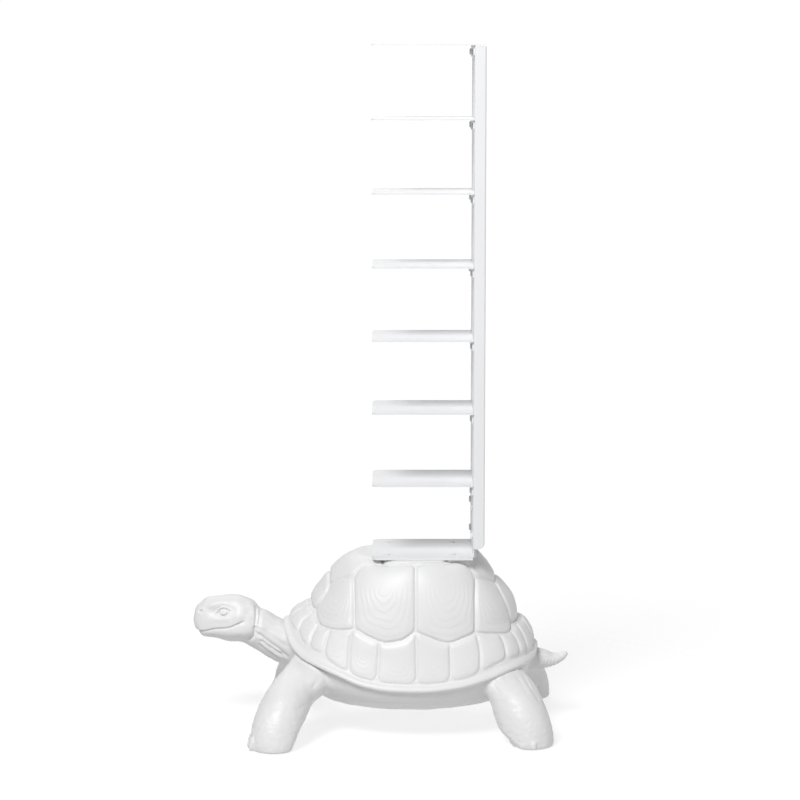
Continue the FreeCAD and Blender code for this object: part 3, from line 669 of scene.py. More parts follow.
# hind legs: folds that run down from the rim; front legs: folds at the shoulder and in the arm pit
for sgn, dx, m in ((-1, 0.0, Y < -60), (1, 10.0, Y > 60)):
    msk = smoothstep(0.05, 0.4, sgn * nrm[:, 1])
    for pts, w, dp in (
        ([(199, 116), (206, 109), (212, 102), (224, 87), (234, 73), (240, 64)], 1.9, 1.7),
        ([(206, 117), (213, 109), (220, 100), (229, 86), (237, 72)], 1.8, 1.9),
        ([(213, 118), (219.5, 111), (226.5, 100), (233, 85), (239, 70)], 1.7, 1.8),
        ([(221, 119), (227, 112), (232.5, 101), (238.5, 87)], 1.7, 1.5),
        ([(196, 112), (203, 101), (213, 88), (222, 75)], 2.4, 0.7),
        ([(181, 114), (185, 102), (190, 92)], 3.2, 0.7),
        ([(168, 92), (172, 84), (180, 78)], 2.4, 0.9),
        ([(172, 102), (175, 94), (181, 88)], 2.8, 0.7),
    ):
        groove([(a + dx * 0.5, b) for a, b in pts], w, dp, m & (X > 140), msk, 0.2)
    for pts, w, dp in (
        ([(202.5, 116), (209.5, 109), (216, 101), (226.5, 86.5), (235.5, 72.5)], 1.6, -0.9),
        ([(209.5, 117), (216, 110), (223, 100), (231, 85.5), (238, 71)], 1.6, -1.0),
        ([(217, 118), (223, 111.5), (229.5, 100.5), (235.8, 86)], 1.6, -0.9),
    ):
        groove([(a + dx * 0.5, b) for a, b in pts], w, dp, m & (X > 140), msk, 0.2)
for sgn, dx, m in ((-1, 0.0, Y < -50), (1, 19.0, Y > 50)):
    msk = smoothstep(0.02, 0.35, sgn * nrm[:, 1])
    for pts, w, dp in (
        ([(-136, 122), (-128, 131), (-118, 135)], 3.0, 1.0),
        ([(-142, 114), (-133, 124), (-120, 128), (-106, 126)], 2.6, 0.9),
        ([(-128, 113), (-118, 117), (-104, 115), (-92, 108)], 2.6, 0.8),
        ([(-92, 96), (-98, 90), (-102, 82)], 3.0, 1.0),
        ([(-140, 122), (-146, 113), (-151, 104)], 1.8, 1.4),
        ([(-136, 118), (-141, 110), (-147, 100)], 1.8, -1.0),
        ([(-108, 66), (-118, 62), (-128, 61)], 2.2, 0.6),
        ([(-112, 48), (-124, 45), (-136, 46)], 2.2, 0.6),
        ([(-118, 30), (-130, 27), (-142, 29)], 2.2, 0.5),
    ):
        groove([(a + dx * 0.6, b) for a, b in pts], w, dp, m & (X < -40), msk, 0.25)

# tail: ribs across its underside
tl = (X > 236) & (np.abs(Y) < 24) & (Z > 70)
ti = np.nonzero(tl)[0]
u = X[ti] - 0.35 * (Z[ti] - 97)
disp[ti] += 0.40 * np.sin(u * 2 * math.pi / 5.2) * smoothstep(240, 250, X[ti]) * smoothstep(284, 272, X[ti]) * smoothstep(0.5, -0.4, nrm[ti, 2])

# skin of the legs: shallow pebbled scales, coarser low on the front of each leg, and loose wrinkles
leg_mask = smoothstep(150, 100, Z) * np.maximum(smoothstep(60, 95, np.abs(Y)), 0) * smoothstep(0.95, 0.7, np.abs(nrm[:, 2]))
li = np.nonzero(leg_mask > 0.02)[0]
c1, c2 = cells(pos[li], 11.0, 3)
low = smoothstep(75, 20, Z[li])
disp[li] += (-0.34 * np.exp(-(((c2 - c1) / 0.14) ** 2)) + 0.26 * (0.5 - c1)) * leg_mask[li] * (0.3 + 0.7 * low)
c1, c2 = cells(pos[li], 6.2, 5)
disp[li] += (-0.13 * np.exp(-(((c2 - c1) / 0.15) ** 2))) * leg_mask[li]
warp = pos + 6.0 * np.stack([value_noise(pos, 26, 11), value_noise(pos, 26, 12), value_noise(pos, 26, 13)], 1)
wr = value_noise(warp * np.array([0.55, 0.55, 1.5]), 9.0, 21)
disp += 0.55 * (1 - np.abs(wr)) ** 3 * -1.0 * smoothstep(150, 110, Z) * (1 - is_head) * 0.7
# slow unevenness of a hand-modelled original
disp += 0.55 * value_noise(pos, 34, 31) * (1 - 0.7 * is_head) + 0.25 * value_noise(pos, 15, 33) * (1 - 0.6 * is_head)

# the soles stay flat
disp *= smoothstep(SOLE_Z + 2.2, SOLE_Z + 7.0, Z)
pos = pos + nrm * disp[:, None]


# ------------------------------------------------------------------ shell
SEAMS_PQ = {  # one side, (angle, plan share) from the tail (0) to the neck (180)
    # outline of the middle row of plates, from the neck round to the tail
    "middle_row": [(162.6, 0.807), (161.9, 0.795), (160.5, 0.767), (159.9, 0.718), (160.6, 0.692), (156.8, 0.662), (149.7, 0.638), (141.5, 0.622),
                   (140.9, 0.593), (140.3, 0.554), (137.4, 0.518), (130, 0.514), (117.8, 0.545), (104, 0.572), (85.3, 0.586), (70, 0.578),
                   (55.9, 0.565), (43, 0.552), (37.4, 0.572), (35.3, 0.596), (35.0, 0.625), (33.6, 0.652), (26.5, 0.668), (17.6, 0.690),
                   (16.0, 0.715), (18.6, 0.765), (20.1, 0.824), (19.9, 0.861)],
    "c1_c2": [(140.9, 0.625), (133.3, 0.731), (129.4, 0.799), (126.8, 0.851)],
    "c2_c3": [(85.3, 0.586), (86.4, 0.739), (86.7, 0.815), (87.0, 0.864)],
    "c3_c4": [(34.4, 0.650), (42.8, 0.758), (47.0, 0.829), (48.8, 0.869)],
    "m0_m1": [(162.6, 0.810), (163.5, 0.882), (161.2, 0.938), (159.0, 0.958)],
    "n_m0": [(170.5, 0.808), (173.4, 0.877), (173.4, 0.930), (172.6, 0.964)],
    "m1_m2": [(152.4, 0.845), (151.4, 0.908), (149.5, 0.962)],
    "m2_m3": [(142.2, 0.856), (141.5, 0.905), (139.8, 0.960)],
    "m3_m4": [(128.0, 0.852), (127.4, 0.904), (124.6, 0.982)],
    "m4_m5": [(110.5, 0.871), (110.0, 0.910), (109.6, 0.984)],
    "m5_m6": [(86.8, 0.864), (86.5, 0.909), (86.8, 0.984)],
    "m6_m7": [(65.2, 0.881), (66.2, 0.926), (67.6, 0.987)],
    "m7_m8": [(48.4, 0.870), (48.7, 0.918), (51.4, 0.985)],
    "m8_m9": [(34.5, 0.888), (34.4, 0.937), (36.0, 0.981)],
    "m9_m10": [(25.4, 0.892), (24.9, 0.948), (26.1, 0.985)],
    "m10_m11": [(15.9, 0.864), (17.5, 0.941), (19.2, 0.988)],
    "m11_p": [(5.4, 0.868), (6.6, 0.950), (9.1, 0.992)],
}
ROW_TOP = [(0, 0.866), (9.2, 0.869), (12.6, 0.864), (19.9, 0.861), (22.9, 0.881), (28.1, 0.893), (37.6, 0.881), (48.8, 0.868), (55.8, 0.873),
           (65.5, 0.882), (78.1, 0.869), (87.0, 0.862), (96.3, 0.873), (105.7, 0.876), (118.3, 0.863), (126.8, 0.850), (139.1, 0.856),
           (149.1, 0.849), (157.7, 0.823), (162.6, 0.807), (167.9, 0.810), (180, 0.806)]
ROW_LOW = [(0, 0.992), (9.2, 0.994), (19.2, 0.989), (26.2, 0.985), (36.1, 0.982), (44.3, 0.980), (51.4, 0.985), (59.8, 0.988), (67.6, 0.987),
           (75.0, 0.987), (86.8, 0.984), (98.4, 0.984), (109.6, 0.985), (116.6, 0.984), (124.2, 0.984), (130.7, 0.981), (139.0, 0.966),
           (143.2, 0.960), (149.3, 0.962), (155.0, 0.957), (159.4, 0.955), (164.3, 0.962), (172.6, 0.966), (180, 0.968)]
SEAMS_XY = {"v2_v3": [(3, -76), (0, -40), (-1, 0), (0, 40), (3, 76)], "v3_v4": [(99, -76), (102, -40), (103, 0), (102, 40), (99, 76)]}
SEAMS_ACROSS = {  # over the middle
    "v1_v2": [(-160.6, 0.692), (-168, 0.670), (-175, 0.658), (-180, 0.656), (-185, 0.658), (-192, 0.670), (-199.4, 0.692)],
    "v4_v5": [(-16.6, 0.699), (-8, 0.690), (0, 0.685), (8, 0.690), (16.6, 0.699)],
}

# two grids over the same sheet: a coarse one, and one of half its step that is used where the relief needs it
NC = 2 * 560
tt = np.linspace(-180, 180, 4001)
edge = np.stack([XC + reach(tt) * np.cos(np.radians(tt)), reach(tt) * np.sin(np.radians(tt))], 1)
arc = np.concatenate([[0], np.cumsum(np.linalg.norm(np.diff(edge, axis=0), axis=1))])
PHI = np.interp(np.linspace(0, arc[-1], NC, endpoint=False), arc, tt)

qs = np.linspace(0, 1, 2001)
rise_len = np.concatenate([[0], np.cumsum(np.sqrt((165 * np.diff(qs)) ** 2 + (150 * np.diff(RISE[1](qs))) ** 2))])
ds = 0.92
q0 = 0.30
n_out = 2 * int((rise_len[-1] - np.interp(q0, qs, rise_len)) / ds / 2) + 1
Q = np.concatenate([np.linspace(0.02, q0, 30, endpoint=False),
                    np.interp(np.linspace(np.interp(q0, qs, rise_len), rise_len[-1], n_out), rise_len, qs)])
Q[-1] = 1.0
nq = Q.size
PH, QQ = np.meshgrid(PHI, Q, indexing="ij")
P = on_shell(PH, QQ)

# rounded bead of the rim, as offsets outwards and up from the edge, then tucked in under it
lip = []
for a in np.radians(np.linspace(46, -165, 33)):
    lip.append((-2.8 + 4.2 * math.cos(a), -3.3 + 4.2 * math.sin(a)))
lip += [(-7.8, -3.9), (-9.4, -3.0), (-12.0, -1.8), (-15.0, -0.6), (-18.0, 0.6), (-22.0, 2.2), (-27.0, 4.5), (-34.0, 8.0)]
if (nq + len(lip)) % 2 == 0:
    lip.append((-40.0, 11.0))
tangent = np.roll(P[:, -1], -1, 0) - np.roll(P[:, -1], 1, 0)
outward = np.cross(tangent, [0, 0, 1])
outward /= np.linalg.norm(outward, axis=1)[:, None]
rows = [P[:, -1] + outward * u_ + np.array([0, 0, v_]) for u_, v_ in lip]
P = np.concatenate([P, np.stack(rows, 1)], 1)
NR = P.shape[1]

# unit normals of the sheet, pointing out
dphi = np.roll(P, -1, 0) - np.roll(P, 1, 0)
dq = np.gradient(P, axis=1)
N = np.cross(dphi, dq)
N /= np.maximum(np.linalg.norm(N, axis=2), 1e-9)[:, :, None]
if (N[NC // 8, nq - 20] * (P[NC // 8, nq - 20] - np.array([XC, 0, 120]))).sum() < 0:
    N = -N

flat = P[:, :nq].reshape(-1, 3)
ang = PH.ravel()


def near_line(line, width):
    """Distance from a polyline, looked up only near it, elsewhere 1000."""
    best = np.full(len(flat), 1e3)
    for k0 in range(0, len(line) - 1, 6):
        part = line[k0:k0 + 7]
        lo_, hi_ = part.min(0) - width, part.max(0) + width
        idx = np.nonzero(np.all((flat > lo_) & (flat < hi_), 1))[0]
        if len(idx):
            best[idx] = np.minimum(best[idx], seg_dist(flat[idx], part)[0])
    return best


def loop(table, n=150):
    f = pchip(*zip(*table))
    a = np.linspace(-180, 180, 2 * n + 1)
    return on_shell(a, f(np.abs(a)))


upper, lower = [], []
for name, pts in SEAMS_PQ.items():
    pts = curve(pts, 4)
    for sgn in (-1, 1):
        line = np.array([on_shell(sgn * a, q) for a, q in pts])
        (lower if name[0] in "mn" and name != "middle_row" else upper).append(line)
for name, pts in SEAMS_XY.items():
    line = []
    for px, py in curve(pts, 5):
        q_, ph_ = plan(np.array(px), np.array(py))
        line.append([px, py, float(shell_height(q_, ph_))])
    upper.append(np.array(line))
for name, pts in SEAMS_ACROSS.items():
    upper.append(np.array([on_shell(a, q) for a, q in curve(pts, 4)]))
d_top = near_line(loop(ROW_TOP), 70.0)
d_low = near_line(loop(ROW_LOW), 40.0)


def nearest(lines, first, width, k):
    """Distance from the nearest seam, eased where two seams are near, so that the plates' corners are round."""
    e1, e2 = first.copy(), np.full(len(flat), 1e3)
    for line in lines:
        b = near_line(line, width)
        e2 = np.minimum(e2, np.maximum(e1, b))
        e1 = np.minimum(e1, b)
    h = np.clip(k - (e2 - e1), 0, None) / k
    return np.maximum(e1 - h * h * k * 0.25, 0).reshape(PH.shape)


absphi = np.abs(PH)
f_top = pchip(*zip(*ROW_TOP))(absphi)
f_low = pchip(*zip(*ROW_LOW))(absphi)
is_up = QQ < f_top
is_marg = (QQ >= f_top) & (QQ < f_low)
d_up = nearest(upper, d_top, 70.0, 8.0)
d_marg = nearest(lower, d_low, 40.0, 11.0)
d_marg = np.minimum(d_marg, d_top.reshape(PH.shape) + 1.2)
dist = np.where(is_up, d_up, d_marg)
from_top = d_top.reshape(PH.shape)

# number the plates by spreading labels over the sheet away from the seams
core = (dist > 2.4) & (is_up | is_marg)
label = np.zeros(PH.shape, np.int64)
label[core] = np.arange(1, core.sum() + 1)
step = 1
for _ in range(4000):
    old = label
    m = label.copy()
    m = np.maximum(m, np.roll(label, 1, 0))
    m = np.maximum(m, np.roll(label, -1, 0))
    m[:, 1:] = np.maximum(m[:, 1:], label[:, :-1])
    m[:, :-1] = np.maximum(m[:, :-1], label[:, 1:])
    m[:, 0] = m[:, 0].max()
    m[~core] = 0
    label = m
    if _ % 20 == 0 and (label == old).all():
        break
areola = np.full(PH.shape, 40.0)
count = np.full(PH.shape, 7.0)
gain = np.zeros(PH.shape)
ids = [i for i in np.unique(label) if i and (label == i).sum() > 60]
for i in ids:
    sel = label == i
    pts = P[:, :nq][sel]
    w_ = np.clip(dist[sel] - 0.8 * dist[sel].max(), 0, None) ** 2 + 1e-9
    c = (pts * w_[:, None]).sum(0) / w_.sum()
    side_plate = is_up[sel].mean() > 0.5 and abs(c[1]) > 45
    marginal = is_marg[sel].mean() > 0.5
    want = c + np.array([0, 0, 15.0 if side_plate else (-1.0 if marginal else 0.0)])
    c = pts[np.argmin(np.linalg.norm(pts - want, axis=1))]
    r_ = np.linalg.norm(pts - c, axis=1)
    areola[sel] = r_
    below = (c[2] - pts[:, 2]) / np.maximum(r_, 1.0)
    if marginal:
        count[sel] = 5.0
        gain[sel] = 0.27 * smoothstep(-0.2, 0.4, below)
    else:
        count[sel] = 7.0 if side_plate else 6.0
        gain[sel] = (0.40 if side_plate else 0.30) * smoothstep(-0.5, 0.25, below) if side_plate or abs(c[0] - 50) > 80 else 0.28
ring_t = dist / (dist + areola + 1e-6)
u_ring = ring_t * count
u_ring = u_ring + 0.16 * value_noise(flat, 13, 61).reshape(PH.shape) + 0.09 * value_noise(flat, 5, 62).reshape(PH.shape)
frac = u_ring - np.floor(u_ring)
w_s = 0.20
saw = np.where(frac < 1 - w_s, 0.5 - frac / (1 - w_s), -0.5 + smoothstep(1 - w_s, 1.0, frac))
rings = saw * gain * smoothstep(0.04, 0.14, ring_t) * smoothstep(0.93, 0.80, ring_t) * (label > 0)


def round_edge(d, r):
    """Quarter ellipse from 0 at the edge to 1 at r mm."""
    u = np.clip(d / r, 0, 1)
    return np.sqrt(np.clip(1 - (1 - u) ** 2, 0, 1))


gap_u, gap_m = 1.5, 1.3
du = np.clip(dist - gap_u, 0, None)
dm = np.clip(dist - gap_m, 0, None)
relief = np.where(is_up, -5.6 + 3.1 * round_edge(du, 4.6) + 2.5 * (1 - np.exp(-du / 13.0)), 0.0)
tops = 0.25 + 0.75 * smoothstep(0.0, 8.0, from_top)
relief = np.where(is_marg, -4.0 + (2.2 * round_edge(dm, 3.8) + 1.8 * (1 - np.exp(-dm / 8.0))) * tops, relief)
band = ~(is_up | is_marg)
relief = np.where(band, -4.0 + 0 * QQ, relief)
# the sheet comes back out to the bead
to_rim = np.linalg.norm(P[:, :nq] - P[:, nq - 1:nq], axis=2)
relief = np.where(band | is_marg, relief * smoothstep(0.0, 7.5, to_rim) ** 0.8, relief)
relief += 0.30 * value_noise(flat, 34, 71).reshape(PH.shape) * smoothstep(2, 12, dist)
# takes the stair steps of the grid out of the plate edges
relief = 0.25 * np.roll(relief, 1, 0) + 0.5 * relief + 0.25 * np.roll(relief, -1, 0)
relief[:, 1:-1] = 0.25 * relief[:, :-2] + 0.5 * relief[:, 1:-1] + 0.25 * relief[:, 2:]
relief = relief + rings
shell_pts = P.copy()
shell_pts[:, :nq] += N[:, :nq] * relief[:, :, None]
# nothing rises above the flat seat
over = shell_pts[:, :, 2] - (SEAT_Z - 0.15)
shell_pts[:, :, 2] = np.where(over > 0, SEAT_Z - 0.15, shell_pts[:, :, 2])

# cells of the coarse grid, and which of them are split
ni, nj = NC // 2, (NR - 1) // 2
G = shell_pts
c00, c20 = G[0::2, 0:-1:2], np.roll(G, -2, 0)[0::2, 0:-1:2]
c02, c22 = G[0::2, 2::2], np.roll(G, -2, 0)[0::2, 2::2]
mid = G[1::2, 1::2]
e1 = np.roll(G, -1, 0)[0::2, 0:-1:2] - (c00 + c20) / 2
e2 = G[0::2, 1::2] - (c00 + c02) / 2
e3 = mid - (c00 + c20 + c02 + c22) / 4
err = np.maximum(np.maximum(np.linalg.norm(e1, axis=2), np.linalg.norm(e2, axis=2)), np.linalg.norm(e3, axis=2))
split = err > (0.11)
grown = split | np.roll(split, 1, 0) | np.roll(split, -1, 0)
grown[:, 1:] |= split[:, :-1]
grown[:, :-1] |= split[:, 1:]
split = grown
node = lambda i, j: (i % NC) * NR + j
ii, jj = np.meshgrid(np.arange(ni), np.arange(nj), indexing="ij")
quad_list, tri_list = [], []
i2, j2 = 2 * ii[split], 2 * jj[split]
for di in (0, 1):
    for dj in (0, 1):
        quad_list.append(np.stack([node(i2 + di, j2 + dj), node(i2 + di + 1, j2 + dj), node(i2 + di + 1, j2 + dj + 1), node(i2 + di, j2 + dj + 1)], 1))
left = np.roll(split, 1, 0)
right = np.roll(split, -1, 0)
down = np.zeros_like(split)
down[:, 1:] = split[:, :-1]
up_ = np.zeros_like(split)
up_[:, :-1] = split[:, 1:]
touch = left | right | down | up_
plain = ~split & ~touch
i2, j2 = 2 * ii[plain], 2 * jj[plain]
quad_list.append(np.stack([node(i2, j2), node(i2 + 2, j2), node(i2 + 2, j2 + 2), node(i2, j2 + 2)], 1))
part = ~split & touch
i2, j2 = 2 * ii[part], 2 * jj[part]
centre = node(i2 + 1, j2 + 1)
for flag, a_, m_, b_ in ((down, (0, 0), (1, 0), (2, 0)), (right, (2, 0), (2, 1), (2, 2)), (up_, (2, 2), (1, 2), (0, 2)), (left, (0, 2), (0, 1), (0, 0))):
    f_ = flag[part]
    na, nm, nb_ = (node(i2 + v[0], j2 + v[1]) for v in (a_, m_, b_))
    tri_list.append(np.stack([na[~f_], nb_[~f_], centre[~f_]], 1))
    tri_list.append(np.stack([na[f_], nm[f_], centre[f_]], 1))
    tri_list.append(np.stack([nm[f_], nb_[f_], centre[f_]], 1))
shell_quads = np.concatenate(quad_list)
shell_tris = np.concatenate(tri_list)
verts = G.reshape(-1, 3)
nv = NC * NR
crown = G[:, 0].mean(0)
inner = G[:, -1].mean(0)
verts = np.concatenate([verts, [crown, inner]])
ends = []
row_split = {0: split[:, 0], NR - 1: split[:, -1]}
for j_, hub, flip in ((0, nv, True), (NR - 1, nv + 1, False)):
    f_ = row_split[j_]
    i_ = 2 * np.arange(ni)
    segs = [np.stack([node(i_[~f_], j_), node(i_[~f_] + 2, j_)], 1), np.stack([node(i_[f_], j_), node(i_[f_] + 1, j_)], 1),
            np.stack([node(i_[f_] + 1, j_), node(i_[f_] + 2, j_)], 1)]
    segs = np.concatenate(segs)
    if flip:
        segs = segs[:, ::-1]
    ends.append(np.concatenate([segs, np.full((len(segs), 1), hub)], 1))
shell_tris = np.concatenate([shell_tris] + ends)
probe = shell_quads[len(shell_quads) // 2]
pn = np.cross(verts[probe[2]] - verts[probe[0]], verts[probe[3]] - verts[probe[1]])
if pn @ N.reshape(-1, 3)[probe[0]] < 0:
    shell_quads = shell_quads[:, ::-1]
    shell_tris = shell_tris[:, ::-1]
used = np.unique(np.concatenate([shell_quads.ravel(), shell_tris.ravel()]))
lookup = np.full(len(verts), -1, np.int64)
lookup[used] = np.arange(len(used))
shell_quads, shell_tris = lookup[shell_quads], lookup[shell_tris]
verts = verts[used]
print("shell", len(verts), len(shell_quads), len(shell_tris), "plates", len(ids), "rounds", _, "split", round(float(split.mean()), 2))


def polys_object(name, verts_mm, quad_list, tri_list):
    me = bpy.data.meshes.new(name)
    v = np.asarray(verts_mm, float) / 1000.0
    quad_list, tri_list = np.asarray(quad_list, np.int32), np.asarray(tri_list, np.int32).reshape(-1, 3)
    loops = np.concatenate([quad_list.ravel(), tri_list.ravel()])
    total = np.concatenate([np.full(len(quad_list), 4), np.full(len(tri_list), 3)]).astype(np.int32)
    start = np.concatenate([[0], np.cumsum(total)[:-1]]).astype(np.int32)
    me.vertices.add(len(v))
    me.vertices.foreach_set("co", v.astype(F).ravel())
    me.loops.add(len(loops))
    me.loops.foreach_set("vertex_index", loops.astype(np.int32))
    me.polygons.add(len(total))
    me.polygons.foreach_set("loop_start", start)
    me.polygons.foreach_set("loop_total", total)
    me.polygons.foreach_set("use_smooth", np.ones(len(total), bool))
    me.update(calc_edges=True)
    me.validate()
    o = bpy.data.objects.new(name, me)
    bpy.context.scene.collection.objects.link(o)
    return o


def heal(me, rounds=8):
    """Flattens the few folded-over triangles that thinning leaves."""
    me.calc_loop_triangles()
    t = np.empty(len(me.loop_triangles) * 3, np.int32)
    me.loop_triangles.foreach_get("vertices", t)
    t = t.reshape(-1, 3)
    e = np.empty(len(me.edges) * 2, np.int32)
    me.edges.foreach_get("vertices", e)
    e = e.reshape(-1, 2)
    v = np.empty(len(me.vertices) * 3, F)
    me.vertices.foreach_get("co", v)
    v = v.reshape(-1, 3).astype(float) * 1000
    deg = np.bincount(e.ravel(), minlength=len(v))
    for r_ in range(rounds):
        n = np.cross(v[t[:, 1]] - v[t[:, 0]], v[t[:, 2]] - v[t[:, 0]])
        n /= np.maximum(np.linalg.norm(n, axis=1), 1e-12)[:, None]
        vn = np.stack([sum(np.bincount(t[:, i], n[:, k], len(v)) for i in range(3)) for k in range(3)], 1)
        vn /= np.maximum(np.linalg.norm(vn, axis=1), 1e-9)[:, None]
        worst = np.min([(n * vn[t[:, i]]).sum(1) for i in range(3)], 0)
        bad = np.unique(t[(worst < 0.40) & (v[t].mean(1)[:, 2] > 5)])
        if not len(bad):
            break
        mean = np.stack([np.bincount(e[:, 0], v[e[:, 1], k], len(v)) + np.bincount(e[:, 1], v[e[:, 0], k], len(v)) for k in range(3)], 1)
        mean /= np.maximum(deg, 1)[:, None]
        v[bad] += 0.8 * (mean[bad] - v[bad])
    print("healed", r_, len(bad))
    me.vertices.foreach_set("co", (v / 1000).astype(F).ravel())
    me.update()


shell = polys_object("tortoise_shell", verts, shell_quads, shell_tris)
skin = polys_object("tortoise_limbs_and_head", pos, quads, np.zeros((0, 3), int))
# flat stretches of the skin need fewer faces
thin = skin.modifiers.new("thin", "DECIMATE")
thin.ratio = 0.34
deps = bpy.context.evaluated_depsgraph_get()
made = bpy.data.meshes.new_from_object(skin.evaluated_get(deps))
skin.modifiers.clear()
skin.data = made
made.polygons.foreach_set("use_smooth", np.ones(len(made.polygons), bool))
heal(made)
print("skin thinned", len(made.vertices), len(made.polygons))
for piece in (shell, skin):
    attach(piece, "root")
    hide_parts("tortoise_body")


# ------------------------------------------------------------------ materials
def new_material(name, color, rough, metallic=0.0):
    m = bpy.data.materials.new(name)
    m.use_nodes = True
    nt = m.node_tree
    for n in list(nt.nodes):
        nt.nodes.remove(n)
    out = nt.nodes.new("ShaderNodeOutputMaterial")
    bsdf = nt.nodes.new("ShaderNodeBsdfPrincipled")
    bsdf.inputs["Base Color"].default_value = (*color, 1)
    bsdf.inputs["Roughness"].default_value = rough
    bsdf.inputs["Metallic"].default_value = metallic
    nt.links.new(bsdf.outputs[0], out.inputs[0])
    return m, nt, bsdf


def texture(nt, kind, scale, **inputs):
    coord = nt.nodes.new("ShaderNodeTexCoord")
    t = nt.nodes.new(kind)
    nt.links.new(coord.outputs["Object"], t.inputs["Vector"])
    t.inputs["Scale"].default_value = scale
    for k, v in inputs.items():
        t.inputs[k].default_value = v
    return t


def ramp(nt, source, lo, hi, a, b):
    r = nt.nodes.new("ShaderNodeMapRange")
    r.inputs["From Min"].default_value = lo
    r.inputs["From Max"].default_value = hi
    r.inputs["To Min"].default_value = a
    r.inputs["To Max"].default_value = b
    nt.links.new(source, r.inputs["Value"])
    return r.outputs["Result"]


def bump(nt, height, strength, distance, before=None):
    b = nt.nodes.new("ShaderNodeBump")
    b.inputs["Strength"].default_value = strength
    b.inputs["Distance"].default_value = distance
    nt.links.new(height, b.inputs["Height"])
    if before is not None:
        nt.links.new(before, b.inputs["Normal"])
    return b.outputs["Normal"]


def math_node(nt, op, a, b=None):
    n = nt.nodes.new("ShaderNodeMath")
    n.operation = op
    for i_, v in enumerate((a, b)):
        if v is None:
            continue
        if isinstance(v, (int, float)):
            n.inputs[i_].default_value = v
        else:
            nt.links.new(v, n.inputs[i_])
    return n.outputs[0]


def tinted(nt, bsdf, factor, c1, c2):
    mix = nt.nodes.new("ShaderNodeMix")
    mix.data_type = "RGBA"
    mix.inputs["A"].default_value = (*c1, 1)
    mix.inputs["B"].default_value = (*c2, 1)
    nt.links.new(factor, mix.inputs["Factor"])
    nt.links.new(mix.outputs["Result"], bsdf.inputs["Base Color"])


# white moulded polyethylene
pe, nt, bsdf = new_material("white_moulded_plastic", (0.74, 0.74, 0.74), 0.46)
bsdf.inputs["IOR"].default_value = 1.5
cloud = texture(nt, "ShaderNodeTexNoise", 14.0, Detail=4.0, Roughness=0.55)
tinted(nt, bsdf, cloud.outputs["Fac"], (0.725, 0.725, 0.725), (0.755, 0.755, 0.755))
nt.links.new(ramp(nt, cloud.outputs["Fac"], 0.3, 0.7, 0.40, 0.52), bsdf.inputs["Roughness"])
grain = texture(nt, "ShaderNodeTexNoise", 900.0, Detail=2.0)
pores = texture(nt, "ShaderNodeTexVoronoi", 330.0)
n1 = bump(nt, cloud.outputs["Fac"], 0.10, 0.0008)
n2 = bump(nt, grain.outputs["Fac"], 0.10, 0.0003, n1)
n3 = bump(nt, pores.outputs["Distance"], 0.06, 0.0003, n2)
nt.links.new(n3, bsdf.inputs["Normal"])
for piece in (shell, skin):
    piece.data.materials.append(pe)

# white powder coat
powder, nt, bsdf = new_material("white_powder_coat", (0.76, 0.765, 0.775), 0.42)
cloud = texture(nt, "ShaderNodeTexNoise", 9.0, Detail=3.0)
tinted(nt, bsdf, cloud.outputs["Fac"], (0.745, 0.75, 0.76), (0.77, 0.775, 0.785))
nt.links.new(ramp(nt, cloud.outputs["Fac"], 0.3, 0.7, 0.36, 0.48), bsdf.inputs["Roughness"])
orange = texture(nt, "ShaderNodeTexNoise", 520.0, Detail=2.0, Roughness=0.4)
fine = texture(nt, "ShaderNodeTexNoise", 1700.0, Detail=1.0)
n1 = bump(nt, orange.outputs["Fac"], 0.16, 0.00035)
n2 = bump(nt, fine.outputs["Fac"], 0.10, 0.0002, n1)
nt.links.new(n2, bsdf.inputs["Normal"])

# coated screws
screw, nt, bsdf = new_material("white_coated_screw", (0.72, 0.725, 0.735), 0.38)
t = texture(nt, "ShaderNodeTexNoise", 700.0, Detail=2.0)
nt.links.new(ramp(nt, t.outputs["Fac"], 0.3, 0.7, 0.30, 0.45), bsdf.inputs["Roughness"])
nt.links.new(bump(nt, t.outputs["Fac"], 0.12, 0.0002), bsdf.inputs["Normal"])

# zinc-plated nuts
zinc, nt, bsdf = new_material("zinc_plate", (0.60, 0.61, 0.62), 0.30, 1.0)
t = texture(nt, "ShaderNodeTexNoise", 420.0, Detail=4.0, Roughness=0.6)
tinted(nt, bsdf, t.outputs["Fac"], (0.55, 0.56, 0.58), (0.68, 0.68, 0.67))
nt.links.new(ramp(nt, t.outputs["Fac"], 0.3, 0.7, 0.22, 0.40), bsdf.inputs["Roughness"])
nt.links.new(bump(nt, t.outputs["Fac"], 0.10, 0.0001), bsdf.inputs["Normal"])

# brass
brass, nt, bsdf = new_material("turned_brass", (0.78, 0.60, 0.28), 0.28, 1.0)
t = texture(nt, "ShaderNodeTexNoise", 500.0, Detail=3.0)
tinted(nt, bsdf, t.outputs["Fac"], (0.70, 0.52, 0.22), (0.84, 0.66, 0.34))
nt.links.new(ramp(nt, t.outputs["Fac"], 0.3, 0.7, 0.20, 0.36), bsdf.inputs["Roughness"])

# rubber
rubber, nt, bsdf = new_material("grey_rubber", (0.42, 0.42, 0.425), 0.75)
t = texture(nt, "ShaderNodeTexNoise", 800.0, Detail=3.0)
tinted(nt, bsdf, t.outputs["Fac"], (0.38, 0.38, 0.385), (0.46, 0.46, 0.465))
nt.links.new(bump(nt, t.outputs["Fac"], 0.3, 0.0003), bsdf.inputs["Normal"])

# vent plug
plug, nt, bsdf = new_material("white_plug", (0.80, 0.80, 0.79), 0.5)
t = texture(nt, "ShaderNodeTexNoise", 600.0, Detail=2.0)
nt.links.new(ramp(nt, t.outputs["Fac"], 0.3, 0.7, 0.42, 0.58), bsdf.inputs["Roughness"])
nt.links.new(bump(nt, t.outputs["Fac"], 0.12, 0.0003), bsdf.inputs["Normal"])

